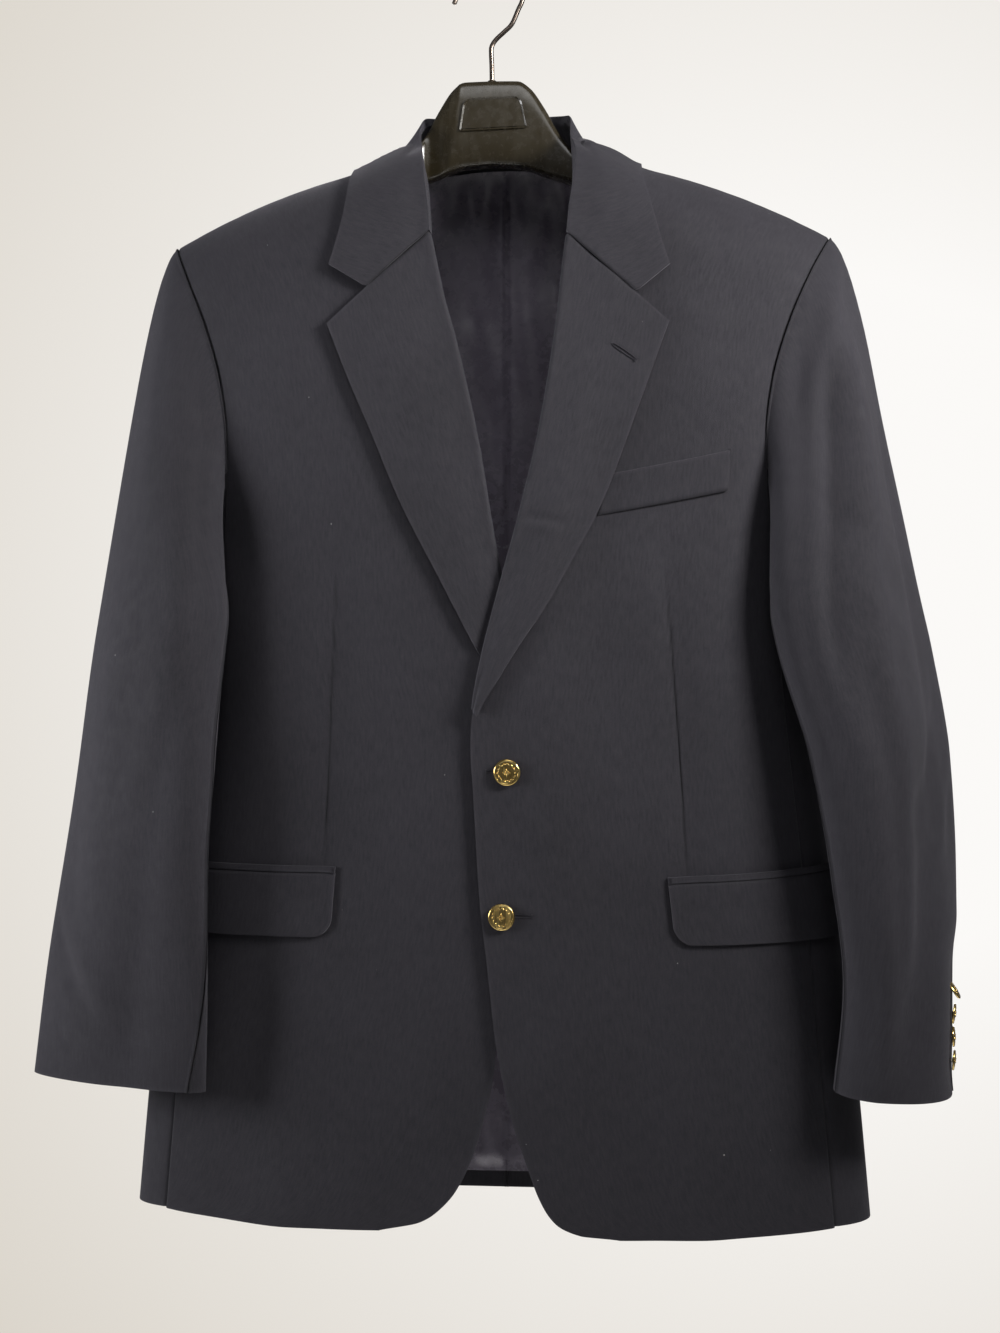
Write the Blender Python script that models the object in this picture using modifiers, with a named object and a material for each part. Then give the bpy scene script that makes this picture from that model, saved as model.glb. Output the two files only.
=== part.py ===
"""Single-breasted two-button blazer on a broad suit hanger, in metres.

The wearer's left is at +X, the front faces -Y and +Z is up.
The garment is shaped about its own centre plane. Every object is then placed
beside the hook by HOOK_ASIDE, so that the origin is the hook's inside top.
"""

import math

import bmesh
import bpy
import numpy as np
from mathutils import Matrix, Vector

# Cloth and seams
SEAM_GAP = 0.0003
SEAM_SIDE = 0.00030
SHELL_WALL = 0.0016
LAPEL_WALL = 0.0022
COLLAR_WALL = 0.0018
FLAP_WALL = 0.0022
LINING_WALL = 0.0010
LINING_INSET = 0.0040
LINING_EDGE_INSET = 0.0024
LINING_TOP = -0.186
LINING_TOP_OUTER = -0.262
LINING_HEM = -0.926
LINING_TURN = 128
PATCH_CLEAR = SHELL_WALL / 2 + FLAP_WALL / 2 + 2 * SEAM_GAP
PATCH_SPREAD = 0.0014
ARMHOLE_GAP = 0.0028

# Body
ROUND_ROWS = 5
SQUARENESS = 0.4
SHOULDER_ROUND = 0.060
SHOULDER_SEAM_TURN = 0.009
ARMHOLE_FOOT = -0.400
ARMPIT_HEIGHT = -0.430
NECK_HALF = 0.075
BACK_NECK_HEIGHT = -0.165
HEM_BACK = -0.9390
OVERLAP_LIFT = 0.0056
OVERLAP_FULL = 0.030
OVERLAP_END = 0.085

# Buttons
FRONT_BUTTON = 0.0195
CUFF_BUTTON = 0.0150
BUTTON_STEPS = 14
BUTTON_HEIGHTS = {"upper": (0.0127, -0.6074), "lower": (0.0083, -0.7107)}
CUFF_BUTTON_COUNT = 4
CUFF_BUTTON_PITCH = 0.0160
CUFF_BUTTON_LOWEST = -0.8165

# Hanger
HANGER_MIDDLE = -0.006
HOOK_WIRE = 0.0036
HOOK_RADIUS = 0.0258
HOOK_ASIDE = 0.008
PLATE_SIZE = (0.046, 0.0012, 0.023)
PLATE_HEIGHT = -0.1180

SIDES = {"left": 1, "right": -1}


class Table:
    """Rows of named columns, read between the rows along a smooth curve that never overshoots."""

    def __init__(self, columns, rows):
        self.columns = columns.split()
        data = np.array(sorted(rows), float)
        self.keys = data[:, 0]
        self.values = data
        steps = np.diff(self.keys)[:, None]
        slopes = np.diff(data, axis=0) / steps
        same = slopes[1:] * slopes[:-1] > 0
        total = slopes[1:] + slopes[:-1]
        inner = np.where(same, 2 * slopes[1:] * slopes[:-1] / np.where(same, total, 1), 0)
        self.tangents = np.vstack([slopes[:1], inner, slopes[-1:]])

    def read(self, column, key):
        c = self.columns.index(column)
        key = min(max(key, self.keys[0]), self.keys[-1])
        i = int(min(max(np.searchsorted(self.keys, key) - 1, 0), len(self.keys) - 2))
        span = self.keys[i + 1] - self.keys[i]
        t = (key - self.keys[i]) / span
        start, end = self.values[i, c], self.values[i + 1, c]
        leave, arrive = self.tangents[i, c] * span, self.tangents[i + 1, c] * span
        blend = t * t * (3 - 2 * t)
        return float(
            start + (end - start) * blend + leave * t * (1 - t) ** 2 - arrive * t * t * (1 - t)
        )


TORSO = Table(
    "z half_width front_depth back_depth",
    (
        (-0.130, 0.262, 0.057, 0.056),
        (-0.215, 0.262, 0.063, 0.062),
        (-0.300, 0.262, 0.070, 0.066),
        (-0.360, 0.250, 0.073, 0.067),
        (-0.440, 0.226, 0.075, 0.067),
        (-0.540, 0.228, 0.077, 0.064),
        (-0.640, 0.241, 0.076, 0.062),
        (-0.760, 0.258, 0.071, 0.062),
        (-0.850, 0.267, 0.067, 0.063),
        (-0.950, 0.276, 0.064, 0.064),
    ),
)
SHOULDER = Table(
    "x z",
    (
        (0.000, -0.1280),
        (0.030, -0.1315),
        (0.060, -0.1415),
        (0.080, -0.1490),
        (0.1075, -0.1610),
        (0.140, -0.1705),
        (0.172, -0.1815),
        (0.210, -0.1975),
        (0.235, -0.2097),
        (0.246, -0.2155),
        (0.262, -0.2250),
    ),
)
# The front's outer edge: the armhole down to its foot, then the side seam.
FRONT_OUTER = Table(
    "z x",
    (
        (-0.2150, 0.2450),
        (-0.246, 0.2290),
        (-0.287, 0.2120),
        (-0.325, 0.2015),
        (-0.360, 0.1975),
        (-0.400, 0.1982),
        (-0.440, 0.2012),
        (-0.560, 0.2110),
        (-0.700, 0.2260),
        (-0.830, 0.2375),
        (-0.950, 0.2482),
    ),
)
BACK_OUTER = Table(
    "z x",
    (
        (-0.2150, 0.2450),
        (-0.246, 0.2370),
        (-0.287, 0.2270),
        (-0.325, 0.2190),
        (-0.360, 0.2140),
        (-0.400, 0.2080),
        (-0.440, 0.2045),
        (-0.500, 0.2045),
        (-0.560, 0.2075),
        (-0.700, 0.2260),
        (-0.830, 0.2410),
        (-0.950, 0.2500),
    ),
)
# The front's inner edge, measured towards its own side: neckline, roll line, front edge, hem corner.
FRONT_INNER = {
    "left": Table(
        "z x",
        (
            (-0.149, 0.0750),
            (-0.170, 0.0675),
            (-0.190, 0.0615),
            (-0.2208, 0.0545),
            (-0.2906, 0.0466),
            (-0.3623, 0.0351),
            (-0.4239, 0.0207),
            (-0.4777, 0.0063),
            (-0.5237, -0.0053),
            (-0.5583, -0.0118),
            (-0.588, -0.0140),
            (-0.628, -0.0119),
            (-0.700, -0.0078),
            (-0.743, -0.0029),
            (-0.800, 0.0032),
            (-0.8516, 0.0132),
            (-0.8964, 0.0275),
            (-0.9167, 0.0354),
            (-0.9325, 0.0461),
            (-0.9415, 0.0642),
            (-0.9445, 0.0922),
        ),
    ),
    "right": Table(
        "z x",
        (
            (-0.149, 0.0750),
            (-0.170, 0.0640),
            (-0.190, 0.0550),
            (-0.2169, 0.0461),
            (-0.2661, 0.0349),
            (-0.2959, 0.0265),
            (-0.3756, 0.0087),
            (-0.4284, 0.0000),
            (-0.4700, -0.0080),
            (-0.5200, -0.0200),
            (-0.5730, -0.0340),
            (-0.620, -0.0345),
            (-0.700, -0.0300),
            (-0.750, -0.0205),
            (-0.800, -0.0045),
            (-0.8305, -0.0007),
            (-0.856, 0.0050),
            (-0.882, 0.0125),
            (-0.911, 0.0260),
            (-0.926, 0.0390),
            (-0.935, 0.0530),
            (-0.9412, 0.0825),
        ),
    ),
}
LAPEL_OUTER = {
    "left": Table(
        "z x",
        (
            (-0.2854, 0.1274),
            (-0.3423, 0.1069),
            (-0.4183, 0.0784),
            (-0.4496, 0.0620),
            (-0.4909, 0.0391),
            (-0.5173, 0.0212),
            (-0.5417, 0.0061),
            (-0.5567, -0.0032),
            (-0.5725, -0.0112),
        ),
    ),
    "right": Table(
        "z x",
        (
            (-0.2841, 0.1194),
            (-0.3178, 0.1060),
            (-0.3685, 0.0841),
            (-0.4120, 0.0659),
            (-0.4697, 0.0362),
            (-0.5029, 0.0188),
            (-0.5266, 0.0058),
            (-0.5490, -0.0120),
            (-0.5730, -0.0325),
        ),
    ),
}
# Where each lapel starts and ends along its roll line and its outer edge.
LAPEL_SPAN = {
    "left": {"roll": (-0.2208, -0.5620), "outer": (-0.2854, -0.5680)},
    "right": {"roll": (-0.2169, -0.5600), "outer": (-0.2841, -0.5660)},
}
NOTCH_SHARE = {"left": 0.675, "right": 0.61}
HEM_FRONT = {
    "left": Table("x z", ((0.000, -0.9445), (0.150, -0.9447), (0.222, -0.9407), (0.275, -0.9372))),
    "right": Table("x z", ((0.000, -0.9412), (0.150, -0.9415), (0.222, -0.9370), (0.275, -0.9336))),
}
# Soft folds of the fronts: each runs from its top to its foot; a negative depth is a trough.
FRONT_FOLDS = Table(
    "row side x_top z_top x_foot z_foot width depth",
    (
        (1, 1, 0.128, -0.470, 0.142, -0.680, 0.012, -0.0022),
        (2, -1, 0.114, -0.460, 0.122, -0.675, 0.012, -0.0022),
        (3, 1, 0.175, -0.400, 0.182, -0.640, 0.022, 0.0030),
        (4, -1, 0.165, -0.360, 0.172, -0.600, 0.024, 0.0028),
        (5, 1, 0.070, -0.620, 0.090, -0.930, 0.030, 0.0026),
        (6, -1, 0.080, -0.700, 0.105, -0.935, 0.030, 0.0028),
        (7, 1, 0.165, -0.760, 0.185, -0.940, 0.026, -0.0030),
        (8, -1, 0.170, -0.770, 0.200, -0.940, 0.026, -0.0026),
    ),
)
BACK_FOLDS = Table(
    "row side x_top z_top x_foot z_foot width depth",
    (
        (1, 1, 0.120, -0.300, 0.140, -0.620, 0.024, 0.0030),
        (2, -1, 0.115, -0.320, 0.135, -0.660, 0.026, 0.0034),
        (3, 1, 0.060, -0.600, 0.085, -0.935, 0.026, -0.0030),
        (4, -1, 0.070, -0.560, 0.100, -0.935, 0.030, -0.0028),
        (5, 1, 0.165, -0.680, 0.200, -0.935, 0.022, 0.0034),
        (6, -1, 0.160, -0.700, 0.190, -0.935, 0.024, 0.0030),
    ),
)
BODY_LEVELS = (
    -0.220, -0.255, -0.290, -0.330, -0.370, -0.410, -0.450, -0.490, -0.530, -0.570, -0.610,
    -0.650, -0.690, -0.730, -0.770, -0.810, -0.850, -0.880, -0.905, -0.922, -0.934, -0.941, -0.9445,
)
BACK_LEVELS = (
    -0.220, -0.265, -0.315, -0.365, -0.410, -0.455, -0.500, -0.545, -0.595, -0.655, -0.725, -0.795, -0.865, -0.939,
)

# Sleeve rings: the two ends seen from the front, how far the cloth bulges before and behind
# them, and by how many degrees the cloth of the armpit swings behind the inner end.
SLEEVE = {
    "left": Table(
        "z inner outer y_inner y_outer front back hem_tilt swing",
        (
            (-0.480, 0.1975, 0.3120, -0.062, 0.000, 0.056, 0.040, 0.000, 40),
            (-0.520, 0.2060, 0.3205, -0.064, -0.002, 0.056, 0.041, 0.000, 30),
            (-0.600, 0.2284, 0.3325, -0.066, -0.004, 0.056, 0.043, 0.000, 6),
            (-0.680, 0.2431, 0.3366, -0.064, -0.006, 0.054, 0.044, 0.000, 0),
            (-0.760, 0.2520, 0.3370, -0.058, -0.010, 0.052, 0.040, 0.000, 0),
            (-0.840, 0.2459, 0.3355, -0.050, -0.012, 0.050, 0.036, -0.004, 0),
        ),
    ),
    "right": Table(
        "z inner outer y_inner y_outer front back hem_tilt swing",
        (
            (-0.480, 0.1940, 0.3010, -0.062, -0.006, 0.054, 0.036, 0.000, 40),
            (-0.520, 0.1970, 0.3075, -0.068, -0.007, 0.052, 0.036, 0.000, 30),
            (-0.600, 0.2018, 0.3190, -0.078, -0.009, 0.045, 0.034, 0.000, 6),
            (-0.680, 0.2050, 0.3312, -0.084, -0.011, 0.036, 0.028, 0.000, 0),
            (-0.760, 0.2050, 0.3435, -0.084, -0.012, 0.026, 0.022, 0.000, 0),
            (-0.840, 0.2080, 0.3540, -0.078, -0.012, 0.020, 0.018, 0.000, 0),
        ),
    ),
}
# Sleeve folds, in degrees round the sleeve from its outer edge towards the front.
SLEEVE_FOLDS = {
    "left": Table(
        "row turn_top z_top turn_foot z_foot width depth",
        (
            (1, 62, -0.250, 118, -0.560, 17, -0.0065),
            (2, 34, -0.235, 60, -0.330, 12, 0.0040),
            (3, 42, -0.330, 66, -0.600, 14, 0.0045),
            (4, 14, -0.360, 30, -0.640, 13, -0.0040),
            (5, 60, -0.610, 84, -0.800, 18, -0.0045),
            (6, 300, -0.330, 280, -0.640, 20, -0.0050),
            (7, 330, -0.540, 320, -0.760, 16, 0.0035),
            (8, 14, -0.740, 10, -0.835, 24, -0.0050),
        ),
    ),
    "right": Table(
        "row turn_top z_top turn_foot z_foot width depth",
        (
            (1, 70, -0.260, 120, -0.520, 16, -0.0045),
            (2, 40, -0.240, 70, -0.420, 16, 0.0030),
            (3, 55, -0.520, 75, -0.780, 18, 0.0030),
            (4, 110, -0.600, 100, -0.820, 14, -0.0028),
            (5, 300, -0.330, 280, -0.620, 20, -0.0045),
        ),
    ),
}
# Where the two sleeve seams lie round the sleeve, from its head (0) to its cuff (1), in degrees.
SLEEVE_SEAMS = {
    "left": Table(
        "down front_seam back_seam",
        ((0.0, 150, 246), (0.46, 153, 287), (0.70, 168, 318), (1.0, 166, 356)),
    ),
    "right": Table(
        "down front_seam back_seam",
        ((0.0, 150, 246), (0.46, 153, 276), (0.70, 174, 290), (0.8, 174, 294), (1.0, 148, 305)),
    ),
}
CUFF_BUTTON_TURN = {"left": 10, "right": -43}
# How far each cuff button's shank stands off the sleeve's smooth form, from the lowest up.
CUFF_BUTTON_SEAT = {
    "left": (0.0012, 0.0005, 0.0004, 0.0008),
    "right": (0.0003, 0.0003, 0.0003, 0.0004),
}
SLEEVE_SEAM_TURN = 1.0
SLEEVE_CLEAR = 0.0043
SLEEVE_JOIN = -0.480
SLEEVE_JOIN_UNDER = -0.505
SLEEVE_HEM = -0.840
CAP_SHARE = 0.46

# The collar from its centre back to its front end: crease, outer edge, and the seam of its stand.
COLLAR = Table(
    "t crease_x crease_y crease_z edge_x edge_y edge_z stand_x stand_y stand_z bulge",
    (
        (0.00, 0.0000, 0.0480, -0.1290, 0.0000, 0.0650, -0.1760, 0.0000, 0.0535, -0.1624, 0.0040),
        (0.22, 0.0330, 0.0420, -0.1270, 0.0480, 0.0600, -0.1745, 0.0380, 0.0470, -0.1580, 0.0035),
        (0.36, 0.0490, 0.0280, -0.1240, 0.0840, 0.0450, -0.1675, 0.0610, 0.0300, -0.1500, -0.0010),
        (0.48, 0.0555, 0.0070, -0.1200, 0.1085, 0.0080, -0.1580, 0.0695, 0.0000, -0.1460, -0.0050),
        (0.60, 0.0565, -0.0130, -0.1330, 0.1105, -0.0280, -0.1690, 0.0675, -0.0220, -0.1520, -0.0030),
        (0.74, 0.0555, -0.0340, -0.1570, 0.1130, -0.0520, -0.1910, 0.0625, -0.0400, -0.1680, 0.0020),
        (0.88, 0.0530, -0.0510, -0.1890, 0.1185, -0.0660, -0.2200, 0.0555, -0.0500, -0.1960, 0.0040),
        (1.00, 0.0503, -0.0600, -0.2180, 0.1232, -0.0680, -0.2425, 0.0520, -0.0600, -0.2195, 0.0040),
    ),
)
STAND_SHARE = 0.26
FOLD_SHARE = 0.38
COLLAR_CLEAR = SHELL_WALL / 2 + COLLAR_WALL / 2 + 0.0010
COLLAR_LIFT = 0.0024
COLLAR_ROLL = 0.0015
COLLAR_POINT = {"left": (0.1281, -0.2440), "right": (0.1185, -0.2405)}
COLLAR_SHIFT = Table("t x", ((0.0, 0.0000), (0.36, -0.0030), (0.60, -0.0022), (0.88, 0.0045), (1.00, 0.0045)))

FLAP = {
    "left": {"inner": 0.1267, "slant": 0.005, "top": -0.6875, "foot": -0.7318, "rise": 0.0075},
    "right": {"inner": 0.1128, "slant": 0.004, "top": -0.6815, "foot": -0.7280, "rise": 0.0015},
}
FLAP_CORNER = 0.014
FLAP_OUTER_TURN = 79.0
JET_HEIGHT = 0.0046
WELT_CORNERS = ((0.0800, -0.3955), (0.1710, -0.3773), (0.1688, -0.4060), (0.0765, -0.4240))

HANGER = Table(
    "x top bottom depth",
    (
        (0.000, -0.0925, -0.1556, 0.0110),
        (0.020, -0.0930, -0.1572, 0.0112),
        (0.029, -0.0985, -0.1596, 0.0115),
        (0.040, -0.1140, -0.1638, 0.0120),
        (0.052, -0.1350, -0.1675, 0.0125),
        (0.064, -0.1490, -0.1715, 0.0135),
        (0.085, -0.1610, -0.1810, 0.0155),
        (0.115, -0.1720, -0.1940, 0.0185),
        (0.145, -0.1815, -0.2050, 0.0210),
        (0.175, -0.1920, -0.2160, 0.0220),
        (0.205, -0.2050, -0.2270, 0.0210),
        (0.222, -0.2150, -0.2300, 0.0150),
    ),
)


def mix(a, b, share):
    """The value this share of the way from a to b."""
    return a + (b - a) * share


def ease(share):
    """0 to 1 with flat ends, held outside them."""
    share = min(max(share, 0.0), 1.0)
    return share * share * (3 - 2 * share)


def shoulder_fade(x, z):
    """How far the body has opened below the shoulder line: 0 on it, 1 a rounding below it."""
    drop = SHOULDER.read("z", abs(x)) - z
    if drop <= 0:
        return 0.0
    if drop >= SHOULDER_ROUND:
        return 1.0
    return math.sqrt(1 - (1 - drop / SHOULDER_ROUND) ** 2)


def fold_height(folds, x, z):
    """The sum of the soft folds that pass near a point of the front or the back."""
    total = 0.0
    for row in folds.values:
        _, side, x_top, z_top, x_foot, z_foot, width, depth = row
        along = (z - z_top) / (z_foot - z_top)
        if x * side <= 0 or along < -0.35 or along > 1.35:
            continue
        middle = mix(x_top, x_foot, along)
        length_fade = ease((along + 0.35) / 0.5) * ease((1.35 - along) / 0.5)
        total += depth * length_fade * math.exp(-(((x * side - middle) / width) ** 2))
    return total


def torso(turn, z):
    """A point of the body's cloth: turn is 0 at the centre front and pi at the centre back."""
    half = TORSO.read("half_width", z)
    facing = math.cos(turn) * (1 + SQUARENESS * math.sin(turn) ** 2)
    x = half * math.sin(turn)
    front = facing > 0
    depth = TORSO.read("front_depth" if front else "back_depth", z)
    fold = fold_height(FRONT_FOLDS if front else BACK_FOLDS, x, z) * min(1.0, abs(facing) * 1.6)
    y = -(depth + fold) * facing
    return Vector((x, y * shoulder_fade(x, z), z))


def torso_normal(turn, z):
    """The outward normal of the body's cloth, from two short steps along it."""
    step = 0.002
    across = torso(turn + step, z) - torso(turn - step, z)
    down = torso(turn, z - step) - torso(turn, z + step)
    return down.cross(across).normalized()


def torso_off(turn, z, lift):
    """A point this far outside the body's cloth."""
    return torso(turn, z) + torso_normal(turn, z) * lift


def seam_turn(turn, z):
    """The turn that a piece leaves free at a seam, so that two pieces stand a seam gap apart."""
    span = 0.02
    reach = (torso(turn + span / 2, z) - torso(turn - span / 2, z)).length / span
    return SEAM_SIDE / reach


def turn_of(x, z):
    """The front turn at which the body reaches this x."""
    return math.asin(min(max(x / TORSO.read("half_width", z), -0.9995), 0.9995))


def overlap_lift(x):
    """How far the wearer's left front stands off where it laps over the right front."""
    return OVERLAP_LIFT * ease((OVERLAP_END - x) / (OVERLAP_END - OVERLAP_FULL))


def front_off(side, x, z, lift):
    """A point this far outside one front, at this distance towards its own side."""
    sign = SIDES[side]
    extra = overlap_lift(x) if side == "left" else 0.0
    return torso_off(turn_of(sign * x, z), z, lift + extra)


def new_material(name, colour, roughness, metallic=0.0):
    material = bpy.data.materials.new(name)
    material.use_nodes = True
    shader = material.node_tree.nodes["Principled BSDF"]
    shader.inputs["Base Color"].default_value = (*colour, 1.0)
    shader.inputs["Roughness"].default_value = roughness
    shader.inputs["Metallic"].default_value = metallic
    material.diffuse_color = (*colour, 1.0)
    return material


def add_object(name, data, material, collection):
    """One named object beside the hook, smooth where its faces nearly agree."""
    obj = bpy.data.objects.new(name, data)
    obj.location.x = HOOK_ASIDE
    data.materials.append(material)
    collection.objects.link(obj)
    return obj


def add_sheet(name, across, down, place, wall, material, collection):
    """A wall through a grid: place gives a point for shares 0 to 1 across and down the piece."""
    mesh = bmesh.new()
    bmesh.ops.create_grid(mesh, x_segments=across, y_segments=down, size=0.5)
    for vertex in mesh.verts:
        vertex.co = place(vertex.co.x + 0.5, 0.5 - vertex.co.y)
    data = bpy.data.meshes.new(name)
    mesh.to_mesh(data)
    mesh.free()
    data.shade_smooth()
    obj = add_object(name, data, material, collection)
    solidify = obj.modifiers.new("wall", "SOLIDIFY")
    solidify.thickness = wall
    solidify.offset = 0.0
    solidify.use_even_offset = False
    return obj


def level_at(levels, share, top, foot):
    """The height at this share down the levels, stretched to run from top to foot."""
    place = share * (len(levels) - 1)
    i = min(int(place), len(levels) - 2)
    height = mix(levels[i], levels[i + 1], place - i)
    return mix(top, foot, (height - levels[0]) / (levels[-1] - levels[0]))


def panel_height(share, rows_round, levels, shoulder, start, hem):
    """The height of a row: first round the shoulder, then down the levels to the hem."""
    rows = rows_round + len(levels) - 1
    row = share * rows
    if row >= rows_round:
        return level_at(levels, (row - rows_round) / (rows - rows_round), shoulder - SHOULDER_ROUND, hem)
    begin = math.acos(1 - min(max((shoulder - start) / SHOULDER_ROUND, 0.0), 1.0))
    turned = mix(max(begin, SHOULDER_SEAM_TURN), math.pi / 2, row / rows_round)
    return shoulder - SHOULDER_ROUND * (1 - math.cos(turned))


def front_turns(side, z):
    """The turns of a front's inner edge and of its outer edge at a height."""
    inner = turn_of(FRONT_INNER[side].read("x", z), z)
    outer = turn_of(FRONT_OUTER.read("x", z), z)
    return inner, outer


def front_place(side):
    """The surface of one front, from the shoulder seam to the hem."""
    sign = SIDES[side]

    def turn_at(u, z):
        inner, outer = front_turns(side, z)
        return mix(inner, outer - seam_turn(outer, z), u)

    def place(u, v):
        top = -0.18
        for _ in range(12):
            x = TORSO.read("half_width", top) * math.sin(turn_at(u, top))
            top = SHOULDER.read("z", abs(x))
        hem = HEM_FRONT[side].read("z", abs(x))
        inner, outer = front_turns(side, hem)
        hem = HEM_FRONT[side].read("z", TORSO.read("half_width", hem) * math.sin(mix(inner, outer, u)))
        z = panel_height(v, ROUND_ROWS, BODY_LEVELS, top, top, hem)
        turn = turn_at(u, z)
        x = TORSO.read("half_width", z) * math.sin(turn)
        lift = overlap_lift(x) if side == "left" else 0.0
        return torso_off(sign * turn, z, lift) if lift else torso(sign * turn, z)

    return place


def back_place(side):
    """The surface of half the back, from its neckline and shoulder seam to the hem."""
    sign = SIDES[side]

    def turn_at(u, z):
        outer = math.pi - turn_of(BACK_OUTER.read("x", z), z)
        return mix(math.pi - seam_turn(math.pi, z), outer + seam_turn(outer, z), u)

    def place(u, v):
        top = -0.18
        for _ in range(12):
            x = TORSO.read("half_width", top) * math.sin(turn_at(u, top))
            top = SHOULDER.read("z", x)
        start = top
        if x < NECK_HALF:
            start = mix(BACK_NECK_HEIGHT, SHOULDER.read("z", NECK_HALF), (x / NECK_HALF) ** 2)
        z = panel_height(v, ROUND_ROWS, BACK_LEVELS, top, min(start, top), HEM_BACK)
        return torso(sign * turn_at(u, z), z)

    return place


def side_place(side):
    """The surface of one side panel, from the foot of the armhole to the hem."""
    sign = SIDES[side]

    def place(u, v):
        top = mix(ARMPIT_HEIGHT, ARMHOLE_FOOT, abs(2 * u - 1) ** 2.2)
        hem = mix(HEM_FRONT[side].read("z", 0.26), HEM_BACK, u)
        z = mix(top, hem, v)
        front = turn_of(FRONT_OUTER.read("x", z), z)
        back = math.pi - turn_of(BACK_OUTER.read("x", z), z)
        return torso(sign * mix(front + seam_turn(front, z), back - seam_turn(back, z), u), z)

    return place


def armhole_loop(side, count=24):
    """Points round the armhole as two runs, before and behind, each from the shoulder to the armpit."""
    front, back = front_place(side), back_place(side)
    under = side_place(side)
    runs = []
    for panel, half in ((front, (0.0, 0.5)), (back, (1.0, 0.5))):
        run = []
        for step in range(60):
            point = panel(1.0, step / 80)
            if point.z < ARMHOLE_FOOT:
                break
            run.append(point)
        for step in range(1, count + 1):
            run.append(under(mix(half[0], half[1], step / count), 0.0))
        runs.append(run)
    return runs


def along(points, share):
    """The point at this share of a polyline's length."""
    lengths = [0.0]
    for a, b in zip(points, points[1:]):
        lengths.append(lengths[-1] + (b - a).length)
    wanted = min(max(share, 0.0), 1.0) * lengths[-1]
    for i in range(len(points) - 1):
        if wanted <= lengths[i + 1]:
            span = max(lengths[i + 1] - lengths[i], 1e-9)
            return points[i].lerp(points[i + 1], (wanted - lengths[i]) / span)
    return points[-1].copy()


def beside_body(point, clear):
    """The point moved straight out until it stands this far off the body, below the armhole."""
    if point.z > ARMHOLE_FOOT + 0.012:
        return point
    low, high = 0.0, math.pi
    bearing = math.atan2(abs(point.x), -point.y)
    for _ in range(14):
        turn = (low + high) / 2
        surface = torso(turn, point.z)
        if math.atan2(surface.x, -surface.y) < bearing:
            low = turn
        else:
            high = turn
    surface = torso(low, point.z)
    surface_reach = math.hypot(surface.x, surface.y) + clear
    reach = math.hypot(point.x, point.y)
    if reach >= surface_reach:
        return point
    grow = surface_reach / reach
    return Vector((point.x * grow, point.y * grow, point.z))


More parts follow.
